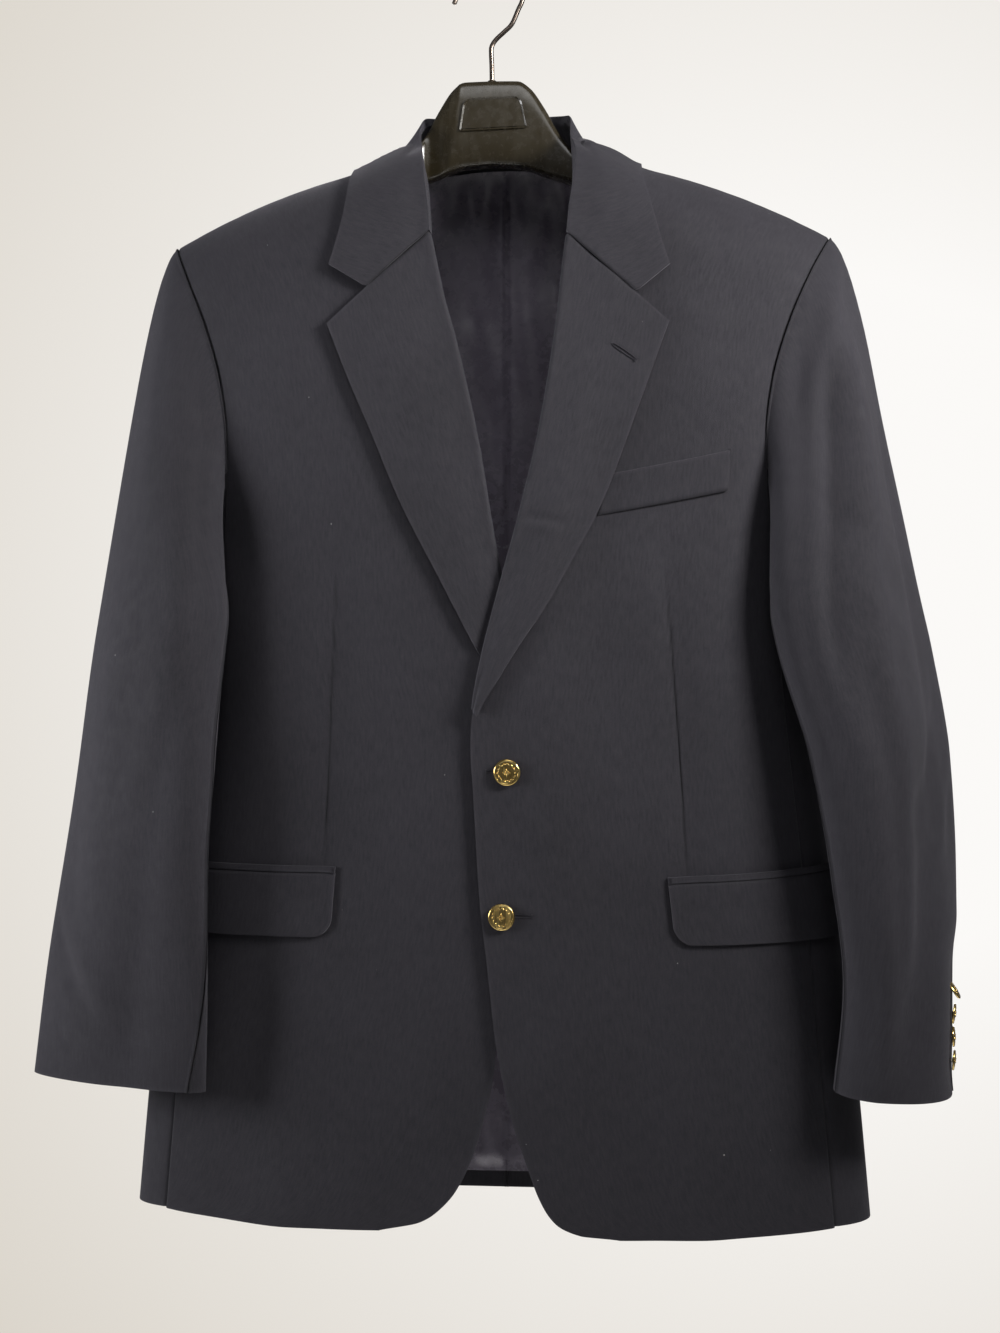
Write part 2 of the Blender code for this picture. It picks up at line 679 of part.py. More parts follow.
class Sleeve:
    """One sleeve: a head from the armhole to its first ring, then rings down to the cuff."""

    def __init__(self, side):
        self.side = side
        self.sign = SIDES[side]
        self.rings = SLEEVE[side]
        self.folds = SLEEVE_FOLDS[side]
        self.seams = SLEEVE_SEAMS[side]
        self.front_run, self.back_run = armhole_loop(side)

    def armhole(self, turn):
        """The armhole point for a turn in degrees: 0 at the shoulder, 180 at the armpit."""
        turn = turn % 360
        if turn <= 180:
            return along(self.front_run, turn / 180)
        return along(self.back_run, (360 - turn) / 180)

    def ring(self, turn, z):
        """A point on the ring at this height."""
        read = self.rings.read
        swing = read("swing", z) * (1 - math.cos(math.radians(turn))) / 2
        angle = math.radians(turn + swing)
        inner, outer = read("inner", z), read("outer", z)
        middle, half = (inner + outer) / 2, (outer - inner) / 2
        reach = math.cos(angle)
        y = mix(read("y_inner", z), read("y_outer", z), (reach + 1) / 2)
        bulge = math.sin(angle)
        y -= bulge * (read("front", z) if bulge > 0 else read("back", z))
        tilt = read("hem_tilt", z) * reach
        return Vector((self.sign * (middle + half * reach), y, z + tilt))

    def fold(self, turn, z):
        """The height of the sleeve's folds at a point."""
        total = 0.0
        for row in self.folds.values:
            _, turn_top, z_top, turn_foot, z_foot, width, depth = row
            share = (z - z_top) / (z_foot - z_top)
            if share < -0.3 or share > 1.3:
                continue
            off = (turn - mix(turn_top, turn_foot, share) + 180) % 360 - 180
            fade = ease((share + 0.3) / 0.45) * ease((1.3 - share) / 0.45)
            total += depth * fade * math.exp(-((off / width) ** 2))
        return total

    def join(self, turn):
        """The height where the sleeve's head meets its rings: lower under the arm."""
        return mix(SLEEVE_JOIN, SLEEVE_JOIN_UNDER, (1 - math.cos(math.radians(turn))) / 2)

    def bare(self, turn, down):
        """A point of the unfolded sleeve: turn in degrees, down 0 at the armhole and 1 at the cuff."""
        join = self.join(turn)
        if down >= CAP_SHARE:
            z = mix(join, SLEEVE_HEM, (down - CAP_SHARE) / (1 - CAP_SHARE))
            return self.ring(turn, z)
        start = self.armhole(turn)
        end = self.ring(turn, join)
        below = self.ring(turn, join - 0.01)
        t = down / CAP_SHARE
        angle = math.radians(turn)
        length = (end - start).length
        leave = Vector(
            (
                self.sign * (1.15 * (1 + math.cos(angle)) / 2 + 0.02),
                -0.30 * math.sin(angle) if math.sin(angle) > 0 else 0.10 * -math.sin(angle),
                -0.40 - 0.75 * (1 - math.cos(angle)) / 2,
            )
        ).normalized()
        arrive = (below - end).normalized()
        leave_length = length * mix(0.22, 0.9, (1 - math.cos(angle)) / 2)
        h1 = 2 * t**3 - 3 * t**2 + 1
        h2 = t**3 - 2 * t**2 + t
        h3 = -2 * t**3 + 3 * t**2
        h4 = t**3 - t**2
        return start * h1 + leave * leave_length * h2 + end * h3 + arrive * length * h4

    def point(self, turn, down):
        """A point of the draped sleeve, clear of the armhole seam."""
        drop = (self.ring(turn, self.join(turn)) - self.armhole(turn)).length
        clear = ARMHOLE_GAP * CAP_SHARE / drop
        down = mix(clear, 1.0, down)
        step = 0.4
        around = self.bare(turn + step, down) - self.bare(turn - step, down)
        fall = self.bare(turn, min(down + 0.004, 1.0)) - self.bare(turn, down - 0.004)
        normal = around.cross(fall).normalized() * self.sign
        middle = self.bare(turn, down)
        height = self.fold(turn, middle.z) * ease((down - clear) / 0.12)
        return beside_body(middle + normal * height, SLEEVE_CLEAR)

    def across(self, start, middle, end, u, v):
        """The turn at u, with the middle of the piece held at its own turn near the armhole."""
        held = mix(start, middle, u * 2) if u < 0.5 else mix(middle, end, u * 2 - 1)
        return mix(held, mix(start, end, u), ease(v / 0.3))

    def top_place(self, u, v):
        """The top sleeve, from the back seam over the outside to the front seam."""
        front, back = self.seams.read("front_seam", v), self.seams.read("back_seam", v)
        start, end = back - 360 + SLEEVE_SEAM_TURN, front - SLEEVE_SEAM_TURN
        return self.point(self.across(start, 0, end, u, v), v)

    def under_place(self, u, v):
        """The under sleeve, from the front seam past the body to the back seam."""
        front, back = self.seams.read("front_seam", v), self.seams.read("back_seam", v)
        start, end = front + SLEEVE_SEAM_TURN, back - SLEEVE_SEAM_TURN
        return self.point(self.across(start, 180, end, u, v), v)


def lapel_place(side):
    """One lapel, from its roll line across to its outer edge."""
    roll, outer = LAPEL_SPAN[side]["roll"], LAPEL_SPAN[side]["outer"]

    def place(u, v):
        z_roll, z_outer = mix(*roll, v), mix(*outer, v)
        x_roll = FRONT_INNER[side].read("x", z_roll)
        x_outer = LAPEL_OUTER[side].read("x", z_outer)
        x, z = mix(x_roll, x_outer, u), mix(z_roll, z_outer, u)
        low = SHELL_WALL / 2 + LAPEL_WALL / 2 + SEAM_GAP
        lift = low + 0.0046 * math.sin(min(1.0, u * 4) * math.pi / 2) - 0.0016 * u
        if side == "right":
            bare = -x - FRONT_INNER["left"].read("x", z)
            lift = min(lift, low + 0.0003 + 0.30 * max(0.0, -bare - 0.002))
        return front_off(side, x, z, lift)

    return place


def patch_place(side, corners, lift, corner_round=0.0):
    """A flat piece sewn on a front: corners run round it from its inner top, as (x, z)."""
    top_in, top_out, foot_out, foot_in = (Vector(c) for c in corners)

    def place(u, v):
        inner = top_in.lerp(foot_in, v)
        outer = top_out.lerp(foot_out, v)
        height = max((top_in - foot_in).length, 1e-6)
        from_foot = (1 - v) * height
        if corner_round and from_foot < corner_round:
            bite = corner_round - math.sqrt(corner_round**2 - (corner_round - from_foot) ** 2)
            inner = inner + (outer - inner).normalized() * bite
        z = mix(inner.y, outer.y, u)
        turn = mix(turn_of(inner.x, inner.y), turn_of(outer.x, outer.y), u)
        x = TORSO.read("half_width", z) * math.sin(turn)
        return front_off(side, x, z, lift + PATCH_SPREAD * u)

    return place


def flap_corners(side, top, foot, foot_rise):
    """The four corners of a strip across the pocket, between two heights at its inner end."""
    flap = FLAP[side]
    slant = flap["slant"] / (flap["top"] - flap["foot"])
    outer = math.sin(math.radians(FLAP_OUTER_TURN))
    x_top = flap["inner"] + slant * (flap["top"] - top)
    x_foot = flap["inner"] + slant * (flap["top"] - foot)
    z_top, z_foot = top + flap["rise"], foot + flap["rise"] * foot_rise
    return (
        (x_top, top),
        (TORSO.read("half_width", z_top) * outer, z_top),
        (TORSO.read("half_width", z_foot) * outer, z_foot),
        (x_foot, foot),
    )


def flap_rows(share):
    """Rows of a flap, closer together near its rounded foot."""
    return 1 - (1 - share) ** 1.6


def collar_row(side, t):
    """Crease, outer edge and stand seam of the collar at t, from 0 at the back to 1 at its end."""
    read = COLLAR.read
    sign = SIDES[side]
    shift = COLLAR_SHIFT.read("x", t)
    points = []
    for part in ("crease", "edge", "stand"):
        x, y, z = (read(f"{part}_{axis}", t) for axis in "xyz")
        if part == "edge":
            own = COLLAR_POINT[side]
            reach = ease((t - 0.60) / 0.4)
            x = mix(x, own[0] - sign * shift, reach)
            z = mix(z, own[1], ease((t - 0.88) / 0.12))
        points.append(Vector((sign * x + shift, y, z)))
    return points


def collar_front_end(side, share):
    """The collar's front end: along the gorge seam to the notch, then up to the point."""
    sign = SIDES[side]
    z_roll, z_peak = LAPEL_SPAN[side]["roll"][0], LAPEL_SPAN[side]["outer"][0]
    roll = Vector((FRONT_INNER[side].read("x", z_roll), z_roll))
    peak = Vector((LAPEL_OUTER[side].read("x", z_peak), z_peak))
    along_gorge = (peak - roll).normalized()
    up = Vector((-along_gorge.y, along_gorge.x))
    notch = roll.lerp(peak, NOTCH_SHARE[side]) + up * 2 * SEAM_GAP
    roll = roll + up * 2 * SEAM_GAP
    point = Vector(COLLAR_POINT[side])
    split = 0.66
    if share < split:
        flat = roll.lerp(notch, share / split)
    else:
        flat = notch.lerp(point, (share - split) / (1 - split))
    return Vector((sign * flat.x, 0.0, flat.y))


def clear_of_body(point, gap):
    """The point moved off the body along its normal until it is this far from it."""
    for _ in range(3):
        x, z = point.x, point.z
        ridge = SHOULDER.read("z", abs(x))
        if z > ridge - 0.0004:
            return Vector((x, point.y, max(z, ridge + min(gap, COLLAR_CLEAR))))
        turn = turn_of(x, z) if point.y <= 0 else math.pi - turn_of(x, z)
        normal = torso_normal(turn, z)
        lap = overlap_lift(x) if x > 0 and point.y <= 0 else 0.0
        short = gap + lap - (point - torso(turn, z)).dot(normal)
        if short <= 0:
            break
        point = point + normal * short
    return point


def collar_place(u, v):
    """The collar: u from the right front end round the back to the left, v from stand to edge."""
    side = "left" if u >= 0.5 else "right"
    t = abs(2 * u - 1)
    crease, edge, stand = collar_row(side, t)
    sideways = edge - stand
    sideways.z = 0.0
    sideways = sideways.normalized() if sideways.length > 1e-6 else Vector((0, 1, 0))

    def fall(share):
        """The outer half, from the crease at 0 to the edge at 1."""
        swell = COLLAR.read("bulge", t) * math.sin(math.pi * share)
        point = crease.lerp(edge, share) + sideways * swell + Vector((0, 0, 0.0012 * (1 - share) + swell / 3))
        front_share = ease((t - 0.80) / 0.2)
        if front_share > 0:
            end = collar_front_end(side, share)
            point = Vector((mix(point.x, end.x, front_share), point.y, mix(point.z, end.z, front_share)))
        gap = COLLAR_CLEAR + COLLAR_LIFT * ease(share * 3) * ease((t - 0.5) / 0.3)
        gap += COLLAR_ROLL * ease((t - 0.75) / 0.2)
        held = 1.0 if share > 0.12 else ease((t - 0.62) / 0.14)
        return point.lerp(clear_of_body(point, gap), held)

    inner = crease - sideways * 0.0016 + (stand - crease) * 0.16
    if v < STAND_SHARE:
        return stand.lerp(inner, v / STAND_SHARE)
    if v < FOLD_SHARE:
        share = (v - STAND_SHARE) / (FOLD_SHARE - STAND_SHARE)
        return inner.lerp(fall(0.0), math.sin(share * math.pi / 2))
    return fall((v - FOLD_SHARE) / (1 - FOLD_SHARE))


def lining_place(side):
    """Half of the back lining, inside the back from below the neck to above the hem."""
    sign = SIDES[side]

    def place(u, v):
        z = mix(mix(LINING_TOP, LINING_TOP_OUTER, u * u), LINING_HEM, v)
        turn = mix(math.pi - seam_turn(math.pi, z), math.radians(LINING_TURN), u)
        inset = mix(LINING_EDGE_INSET, LINING_INSET, ease(min(v, 1 - v) / 0.12))
        return torso_off(sign * turn, z, -inset)

    return place


def add_button(name, diameter, centre, facing, material, collection):
    """A domed metal button with its shank, turned from its profile."""
    radius = diameter / 2
    outline = (
        (0.00, 0.22),
        (0.55, 0.19),
        (0.90, 0.10),
        (1.00, 0.00),
        (0.90, -0.06),
        (0.18, -0.08),
        (0.18, -0.24),
        (0.00, -0.24),
    )
    data = bpy.data.meshes.new(name)
    points = [(share * radius, 0.0, height * radius) for share, height in outline]
    data.from_pydata(points, [(i, i + 1) for i in range(len(points) - 1)], [])
    obj = add_object(name, data, material, collection)
    screw = obj.modifiers.new("turning", "SCREW")
    screw.steps = BUTTON_STEPS
    screw.render_steps = BUTTON_STEPS
    screw.use_merge_vertices = True
    screw.merge_threshold = 0.00001
    screw.use_normal_calculate = True
    turned = facing.to_track_quat("Z", "Y").to_matrix().to_4x4()
    obj.matrix_world = Matrix.Translation(centre + Vector((HOOK_ASIDE, 0, 0))) @ turned
    return obj


def hanger_point(u, v):
    """The hanger's body as boxy rings along its arms: u along it, v round it."""
    reach = mix(-0.222, 0.222, u)
    read = HANGER.read
    top, bottom = read("top", abs(reach)), read("bottom", abs(reach))
    depth = read("depth", abs(reach))
    angle = 2 * math.pi * v
    across, up = math.cos(angle), math.sin(angle)
    power = 0.55
    y = depth * math.copysign(abs(across) ** power, across)
    z = (top + bottom) / 2 + (top - bottom) / 2 * math.copysign(abs(up) ** power, up)
    return Vector((HANGER_MIDDLE + reach, -y, z))


def add_hanger_body(material, collection):
    mesh = bmesh.new()
    bmesh.ops.create_grid(mesh, x_segments=26, y_segments=16, size=0.5)
    for vertex in mesh.verts:
        vertex.co = hanger_point(vertex.co.x + 0.5, vertex.co.y + 0.5)
    bmesh.ops.remove_doubles(mesh, verts=mesh.verts, dist=0.00001)
    rim = [edge for edge in mesh.edges if edge.is_boundary]
    bmesh.ops.holes_fill(mesh, edges=rim, sides=0)
    bmesh.ops.recalc_face_normals(mesh, faces=mesh.faces)
    data = bpy.data.meshes.new("hanger_body")
    mesh.to_mesh(data)
    mesh.free()
    data.shade_smooth()
    return add_object("hanger_body", data, material, collection)


def add_hanger_plate(material, collection):
    """The small raised plate on the hanger's neck, left bare."""
    mesh = bmesh.new()
    bmesh.ops.create_cube(mesh, size=1.0)
    bmesh.ops.scale(mesh, verts=mesh.verts, vec=PLATE_SIZE)
    for vertex in mesh.verts:
        vertex.co.x *= 0.90 if vertex.co.z > 0 else 1.0
    upright = [edge for edge in mesh.edges if abs(edge.verts[0].co.y - edge.verts[1].co.y) > PLATE_SIZE[1] / 2]
    bmesh.ops.bevel(mesh, geom=upright, offset=0.004, segments=4, profile=0.5, affect="EDGES")
    depth = HANGER.read("depth", 0.0) + PLATE_SIZE[1] / 2 + SEAM_GAP
    bmesh.ops.translate(mesh, verts=mesh.verts, vec=(HANGER_MIDDLE, -depth - 0.0002, PLATE_HEIGHT))
    data = bpy.data.meshes.new("hanger_plate")
    mesh.to_mesh(data)
    mesh.free()
    return add_object("hanger_plate", data, material, collection)


def hook_route():
    """The wire: up from the hanger, round the bend and over the crown to its tip."""
    wire = HOOK_WIRE / 2
    centre = Vector((-HOOK_ASIDE, 0.0, wire - HOOK_RADIUS))
    stem = HANGER.read("top", 0.0)
    route = [
        Vector((HANGER_MIDDLE, 0, stem + SEAM_GAP)),
        Vector((HANGER_MIDDLE - 0.0002, 0, stem + 0.012)),
        Vector((HANGER_MIDDLE - 0.0006, 0, stem + 0.022)),
        Vector((HANGER_MIDDLE - 0.0002, 0, stem + 0.0275)),
        Vector((HANGER_MIDDLE + 0.0030, 0, stem + 0.0325)),
        Vector((HANGER_MIDDLE + 0.0090, 0, stem + 0.0380)),
        Vector((HANGER_MIDDLE + 0.0150, 0, stem + 0.0440)),
    ]
    for step in range(18):
        angle = math.radians(mix(-32, 190, step / 17))
        route.append(centre + Vector((math.cos(angle), 0, math.sin(angle))) * HOOK_RADIUS)
    route.append(route[-1] + Vector((-0.0016, 0, -0.0040)))
    return route


def add_hook(material, collection):
    data = bpy.data.curves.new("hanger_hook", "CURVE")
    data.dimensions = "3D"
    data.bevel_depth = HOOK_WIRE / 2
    data.bevel_resolution = 2
    data.use_fill_caps = True
    route = hook_route()
    spline = data.splines.new("POLY")
    spline.points.add(len(route) - 1)
    for control, point in zip(spline.points, route):
        control.co = (*point, 1.0)
    return add_object("hanger_hook", data, material, collection)


def build():
    for obj in list(bpy.data.objects):
        bpy.data.objects.remove(obj)
    parts = bpy.data.collections.new("blazer")
    bpy.context.scene.collection.children.link(parts)

    wool = new_material("wool", (0.020, 0.021, 0.031), 0.80)
    wool_collar = new_material("wool_collar", (0.022, 0.023, 0.034), 0.80)
    lining = new_material("lining", (0.030, 0.026, 0.042), 0.38)
    gilt = new_material("gilt", (0.75, 0.52, 0.16), 0.25, 1.0)
    plastic = new_material("hanger_plastic", (0.030, 0.027, 0.020), 0.28)
    steel = new_material("hook_steel", (0.16, 0.14, 0.12), 0.35, 1.0)

    for side in SIDES:
        front_rows = ROUND_ROWS + len(BODY_LEVELS) - 1
        back_rows = ROUND_ROWS + len(BACK_LEVELS) - 1
        add_sheet(f"front_{side}", 10, front_rows, front_place(side), SHELL_WALL, wool, parts)
        add_sheet(f"back_{side}", 10, back_rows, back_place(side), SHELL_WALL, wool, parts)
        add_sheet(f"side_{side}", 6, 12, side_place(side), SHELL_WALL, wool, parts)
        add_sheet(f"lining_back_{side}", 5, 10, lining_place(side), LINING_WALL, lining, parts)
        add_sheet(f"lapel_{side}", 6, 13, lapel_place(side), LAPEL_WALL, wool_collar, parts)

        sleeve = Sleeve(side)
        add_sheet(f"top_sleeve_{side}", 12, 20, sleeve.top_place, SHELL_WALL, wool, parts)
        add_sheet(f"under_sleeve_{side}", 8, 20, sleeve.under_place, SHELL_WALL, wool, parts)
        for number in range(CUFF_BUTTON_COUNT):
            height = CUFF_BUTTON_LOWEST + number * CUFF_BUTTON_PITCH
            turn = CUFF_BUTTON_TURN[side]
            join = sleeve.join(turn)
            down = CAP_SHARE + (1 - CAP_SHARE) * (join - height) / (join - SLEEVE_HEM)
            seat = sleeve.point(turn, down)
            around = sleeve.point(turn + 8, down) - sleeve.point(turn - 8, down)
            fall = sleeve.point(turn, down + 0.01) - sleeve.point(turn, down - 0.01)
            normal = around.cross(fall).normalized() * SIDES[side]
            lift = SHELL_WALL / 2 + CUFF_BUTTON_SEAT[side][number] + 0.24 * CUFF_BUTTON / 2
            name = f"cuff_button_{side}_{number + 1}"
            add_button(name, CUFF_BUTTON, seat + normal * lift, normal, gilt, parts)

        flap = FLAP[side]
        place = patch_place(side, flap_corners(side, flap["top"], flap["foot"], 0.5), PATCH_CLEAR, FLAP_CORNER)
        rounded = lambda u, v, place=place: place(u, flap_rows(v))
        add_sheet(f"flap_{side}", 8, 6, rounded, FLAP_WALL, wool, parts)
        jet_foot = flap["top"] + 2 * SEAM_GAP
        corners = flap_corners(side, jet_foot + JET_HEIGHT, jet_foot, 1.0)
        add_sheet(f"jet_{side}", 8, 1, patch_place(side, corners, PATCH_CLEAR), FLAP_WALL, wool, parts)

    add_sheet("chest_welt", 6, 2, patch_place("left", WELT_CORNERS, PATCH_CLEAR), FLAP_WALL, wool, parts)
    add_sheet("collar", 38, 9, collar_place, COLLAR_WALL, wool_collar, parts)

    for name, (x, z) in BUTTON_HEIGHTS.items():
        seat = front_off("left", x, z, SHELL_WALL / 2 + SEAM_GAP + 0.24 * FRONT_BUTTON / 2)
        add_button(f"front_button_{name}", FRONT_BUTTON, seat, Vector((0, -1, 0)), gilt, parts)

    add_hanger_body(plastic, parts)
    add_hanger_plate(plastic, parts)
    add_hook(steel, parts)


build()
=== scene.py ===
"""Looks of a two-button blazer on its hanger: cloth shells, trim, finishes, light and camera.

The garment is shaped about its own centre plane, with the wearer's left at +X and the front
facing -Y, and every finished mesh is then placed beside the hook by HOOK_ASIDE.
"""

from __future__ import annotations

import logging
import math
from dataclasses import dataclass, field
from enum import Enum
from typing import Callable, Iterable

import bmesh
import bpy
import numpy as np
from mathutils import Matrix, Vector

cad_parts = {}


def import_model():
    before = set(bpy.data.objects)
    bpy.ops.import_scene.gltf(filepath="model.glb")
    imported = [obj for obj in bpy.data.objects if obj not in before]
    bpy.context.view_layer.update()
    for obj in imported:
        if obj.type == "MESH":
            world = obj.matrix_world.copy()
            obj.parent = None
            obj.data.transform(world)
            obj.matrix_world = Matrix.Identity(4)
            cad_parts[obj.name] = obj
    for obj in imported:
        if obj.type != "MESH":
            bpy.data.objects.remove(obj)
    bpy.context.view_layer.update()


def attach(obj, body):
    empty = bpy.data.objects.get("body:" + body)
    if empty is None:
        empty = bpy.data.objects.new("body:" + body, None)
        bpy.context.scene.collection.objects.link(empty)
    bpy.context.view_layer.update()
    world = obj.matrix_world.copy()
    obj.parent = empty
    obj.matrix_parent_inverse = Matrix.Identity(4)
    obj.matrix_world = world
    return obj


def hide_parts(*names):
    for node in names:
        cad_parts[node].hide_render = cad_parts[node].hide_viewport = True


LOG = logging.getLogger("blazer")
Array = np.ndarray

SEAM_SIDE = 0.00008
SHELL_WALL = 0.0016
LAPEL_WALL = 0.0018
COLLAR_WALL = 0.0016
FLAP_WALL = 0.0022
LINING_INSET = 0.0040
LINING_EDGE_INSET = 0.0024
LINING_TOP = -0.1480
LINING_TOP_OUTER = -0.262
LINING_HEM = -0.926
LINING_TURN = 128
SEAM_GAP = 0.0003
PATCH_CLEAR = SHELL_WALL / 2 + FLAP_WALL / 2 + 2 * SEAM_GAP
PATCH_SPREAD = 0.0014
ARMHOLE_GAP = 0.0022
SEAM_ROLL = 0.0013
SEAM_DEPTH = 0.0011
PUCKER = 0.00028
LAPEL_ROLL = 0.0022

ROUND_ROWS = 5
SQUARENESS = 0.4
SHOULDER_ROUND = 0.060
SHOULDER_SEAM_TURN = 0.004
ARMHOLE_FOOT = -0.400
ARMPIT_HEIGHT = -0.430
NECK_HALF = 0.075
BACK_NECK_HEIGHT = -0.1490
HEM_BACK = -0.9390
OVERLAP_LIFT = 0.0056
OVERLAP_FULL = 0.030
OVERLAP_END = 0.085

FRONT_BUTTON = 0.0195
CUFF_BUTTON = 0.0150
BUTTON_HEIGHTS = {"upper": (0.0127, -0.6074), "lower": (0.0083, -0.7107)}
CUFF_BUTTON_COUNT = 4
CUFF_BUTTON_PITCH = 0.0160
CUFF_BUTTON_LOWEST = -0.8165
CUFF_BUTTON_LEAN = {"left": (4.0, -3.0, 6.0, -34.0), "right": (3.0, -5.0, 4.0, -9.0)}

HANGER_MIDDLE = -0.006
HOOK_WIRE = 0.0036
HOOK_RADIUS = 0.0258
HOOK_ASIDE = 0.008
PLATE_HEIGHT = -0.1180

SIDES = {"left": 1, "right": -1}


class Table:
    """Rows of named columns, read between the rows along a smooth curve that never overshoots."""

    def __init__(self, columns: str, rows: tuple[tuple[float, ...], ...]) -> None:
        """Sorts the rows by their first column and finds the slopes.

        Args:
            columns: the columns' names, separated by spaces.
            rows: one tuple of numbers for each row.
        """
        self.columns = columns.split()
        data = np.array(sorted(rows), float)
        self.keys = data[:, 0]
        self.values = data
        slopes = np.diff(data, axis=0) / np.maximum(np.diff(self.keys)[:, None], 1e-9)
        same = slopes[1:] * slopes[:-1] > 0
        total = np.where(same, slopes[1:] + slopes[:-1], 1)
        inner = np.where(same, 2 * slopes[1:] * slopes[:-1] / total, 0)
        self.tangents = np.vstack([slopes[:1], inner, slopes[-1:]])

    def read(self, column: str, key: Array | float) -> Array:
        """Reads one column at any keys.

        Args:
            column: the column's name.
            key: where to read, held inside the table's ends.

        Returns:
            One value for each key.
        """
        c = self.columns.index(column)
        key = np.clip(key, self.keys[0], self.keys[-1])
        i = np.clip(np.searchsorted(self.keys, key) - 1, 0, len(self.keys) - 2)
        span = self.keys[i + 1] - self.keys[i]
        t = (key - self.keys[i]) / span
        start, end = self.values[i, c], self.values[i + 1, c]
        leave, arrive = self.tangents[i, c] * span, self.tangents[i + 1, c] * span
        curve = start + (end - start) * t * t * (3 - 2 * t)
        return curve + leave * t * (1 - t) ** 2 - arrive * t * t * (1 - t)


TORSO = Table(
    "z half_width front_depth back_depth",
    (
        (-0.130, 0.262, 0.057, 0.056),
        (-0.215, 0.262, 0.063, 0.062),
        (-0.300, 0.262, 0.070, 0.066),
        (-0.360, 0.250, 0.073, 0.067),
        (-0.440, 0.226, 0.075, 0.067),
        (-0.540, 0.228, 0.077, 0.064),
        (-0.640, 0.241, 0.076, 0.062),
        (-0.760, 0.258, 0.071, 0.062),
        (-0.850, 0.267, 0.067, 0.063),
        (-0.950, 0.276, 0.064, 0.064),
    ),
)
SHOULDER = Table(
    "x z",
    (
        (0.000, -0.1280),
        (0.030, -0.1315),
        (0.060, -0.1415),
        (0.080, -0.1490),
        (0.1075, -0.1610),
        (0.140, -0.1705),
        (0.172, -0.1815),
        (0.210, -0.1975),
        (0.235, -0.2097),
        (0.246, -0.2155),
        (0.262, -0.2250),
    ),
)
# The front's outer edge: the armhole down to its foot, then the side seam.
FRONT_OUTER = Table(
    "z x",
    (
        (-0.2150, 0.2450),
        (-0.246, 0.2290),
        (-0.287, 0.2120),
        (-0.325, 0.2015),
        (-0.360, 0.1975),
        (-0.400, 0.1982),
        (-0.440, 0.2012),
        (-0.560, 0.2110),
        (-0.700, 0.2260),
        (-0.830, 0.2375),
        (-0.950, 0.2482),
    ),
)
BACK_OUTER = Table(
    "z x",
    (
        (-0.2150, 0.2450),
        (-0.246, 0.2370),
        (-0.287, 0.2270),
        (-0.325, 0.2190),
        (-0.360, 0.2140),
        (-0.400, 0.2080),
        (-0.440, 0.2045),
        (-0.500, 0.2045),
        (-0.560, 0.2075),
        (-0.700, 0.2260),
        (-0.830, 0.2410),
        (-0.950, 0.2500),
    ),
)
# The front's inner edge, measured towards its own side: neckline, roll line, front edge, hem corner.
FRONT_INNER = {
    "left": Table(
        "z x",
        (
            (-0.149, 0.0750),
            (-0.170, 0.0675),
            (-0.190, 0.0615),
            (-0.2208, 0.0545),
            (-0.2906, 0.0466),
            (-0.3623, 0.0351),
            (-0.4239, 0.0207),
            (-0.4777, 0.0063),
            (-0.5237, -0.0053),
            (-0.5583, -0.0118),
            (-0.588, -0.0140),
            (-0.628, -0.0119),
            (-0.700, -0.0078),
            (-0.743, -0.0029),
            (-0.800, 0.0032),
            (-0.8516, 0.0132),
            (-0.8964, 0.0275),
            (-0.9167, 0.0354),
            (-0.9325, 0.0461),
            (-0.9415, 0.0642),
            (-0.9445, 0.0922),
        ),
    ),
    "right": Table(
        "z x",
        (
            (-0.149, 0.0750),
            (-0.170, 0.0640),
            (-0.190, 0.0550),
            (-0.2169, 0.0461),
            (-0.2661, 0.0349),
            (-0.2959, 0.0265),
            (-0.3756, 0.0087),
            (-0.4284, 0.0000),
            (-0.4700, -0.0080),
            (-0.5200, -0.0200),
            (-0.5730, -0.0340),
            (-0.620, -0.0345),
            (-0.700, -0.0300),
            (-0.750, -0.0205),
            (-0.800, -0.0045),
            (-0.8305, -0.0007),
            (-0.856, 0.0050),
            (-0.882, 0.0125),
            (-0.911, 0.0260),
            (-0.926, 0.0390),
            (-0.935, 0.0530),
            (-0.9412, 0.0825),
        ),
    ),
}
LAPEL_OUTER = {
    "left": Table(
        "z x",
        (
            (-0.2854, 0.1274),
            (-0.3423, 0.1069),
            (-0.4183, 0.0784),
            (-0.4496, 0.0620),
            (-0.4909, 0.0391),
            (-0.5173, 0.0212),
            (-0.5417, 0.0061),
            (-0.5567, -0.0032),
            (-0.5725, -0.0112),
        ),
    ),
    "right": Table(
        "z x",
        (
            (-0.2841, 0.1194),
            (-0.3178, 0.1060),
            (-0.3685, 0.0841),
            (-0.4120, 0.0659),
            (-0.4697, 0.0362),
            (-0.5029, 0.0188),
            (-0.5266, 0.0058),
            (-0.5490, -0.0120),
            (-0.5730, -0.0325),
        ),
    ),
}
# Where each lapel starts and ends along its roll line and its outer edge.
LAPEL_SPAN = {
    "left": {"roll": (-0.2208, -0.5620), "outer": (-0.2854, -0.5680)},
    "right": {"roll": (-0.2169, -0.5600), "outer": (-0.2841, -0.5660)},
}
NOTCH_SHARE = {"left": 0.675, "right": 0.61}
HEM_FRONT = {
    "left": Table("x z", ((0.000, -0.9445), (0.150, -0.9447), (0.222, -0.9407), (0.275, -0.9372))),
    "right": Table("x z", ((0.000, -0.9412), (0.150, -0.9415), (0.222, -0.9370), (0.275, -0.9336))),
}
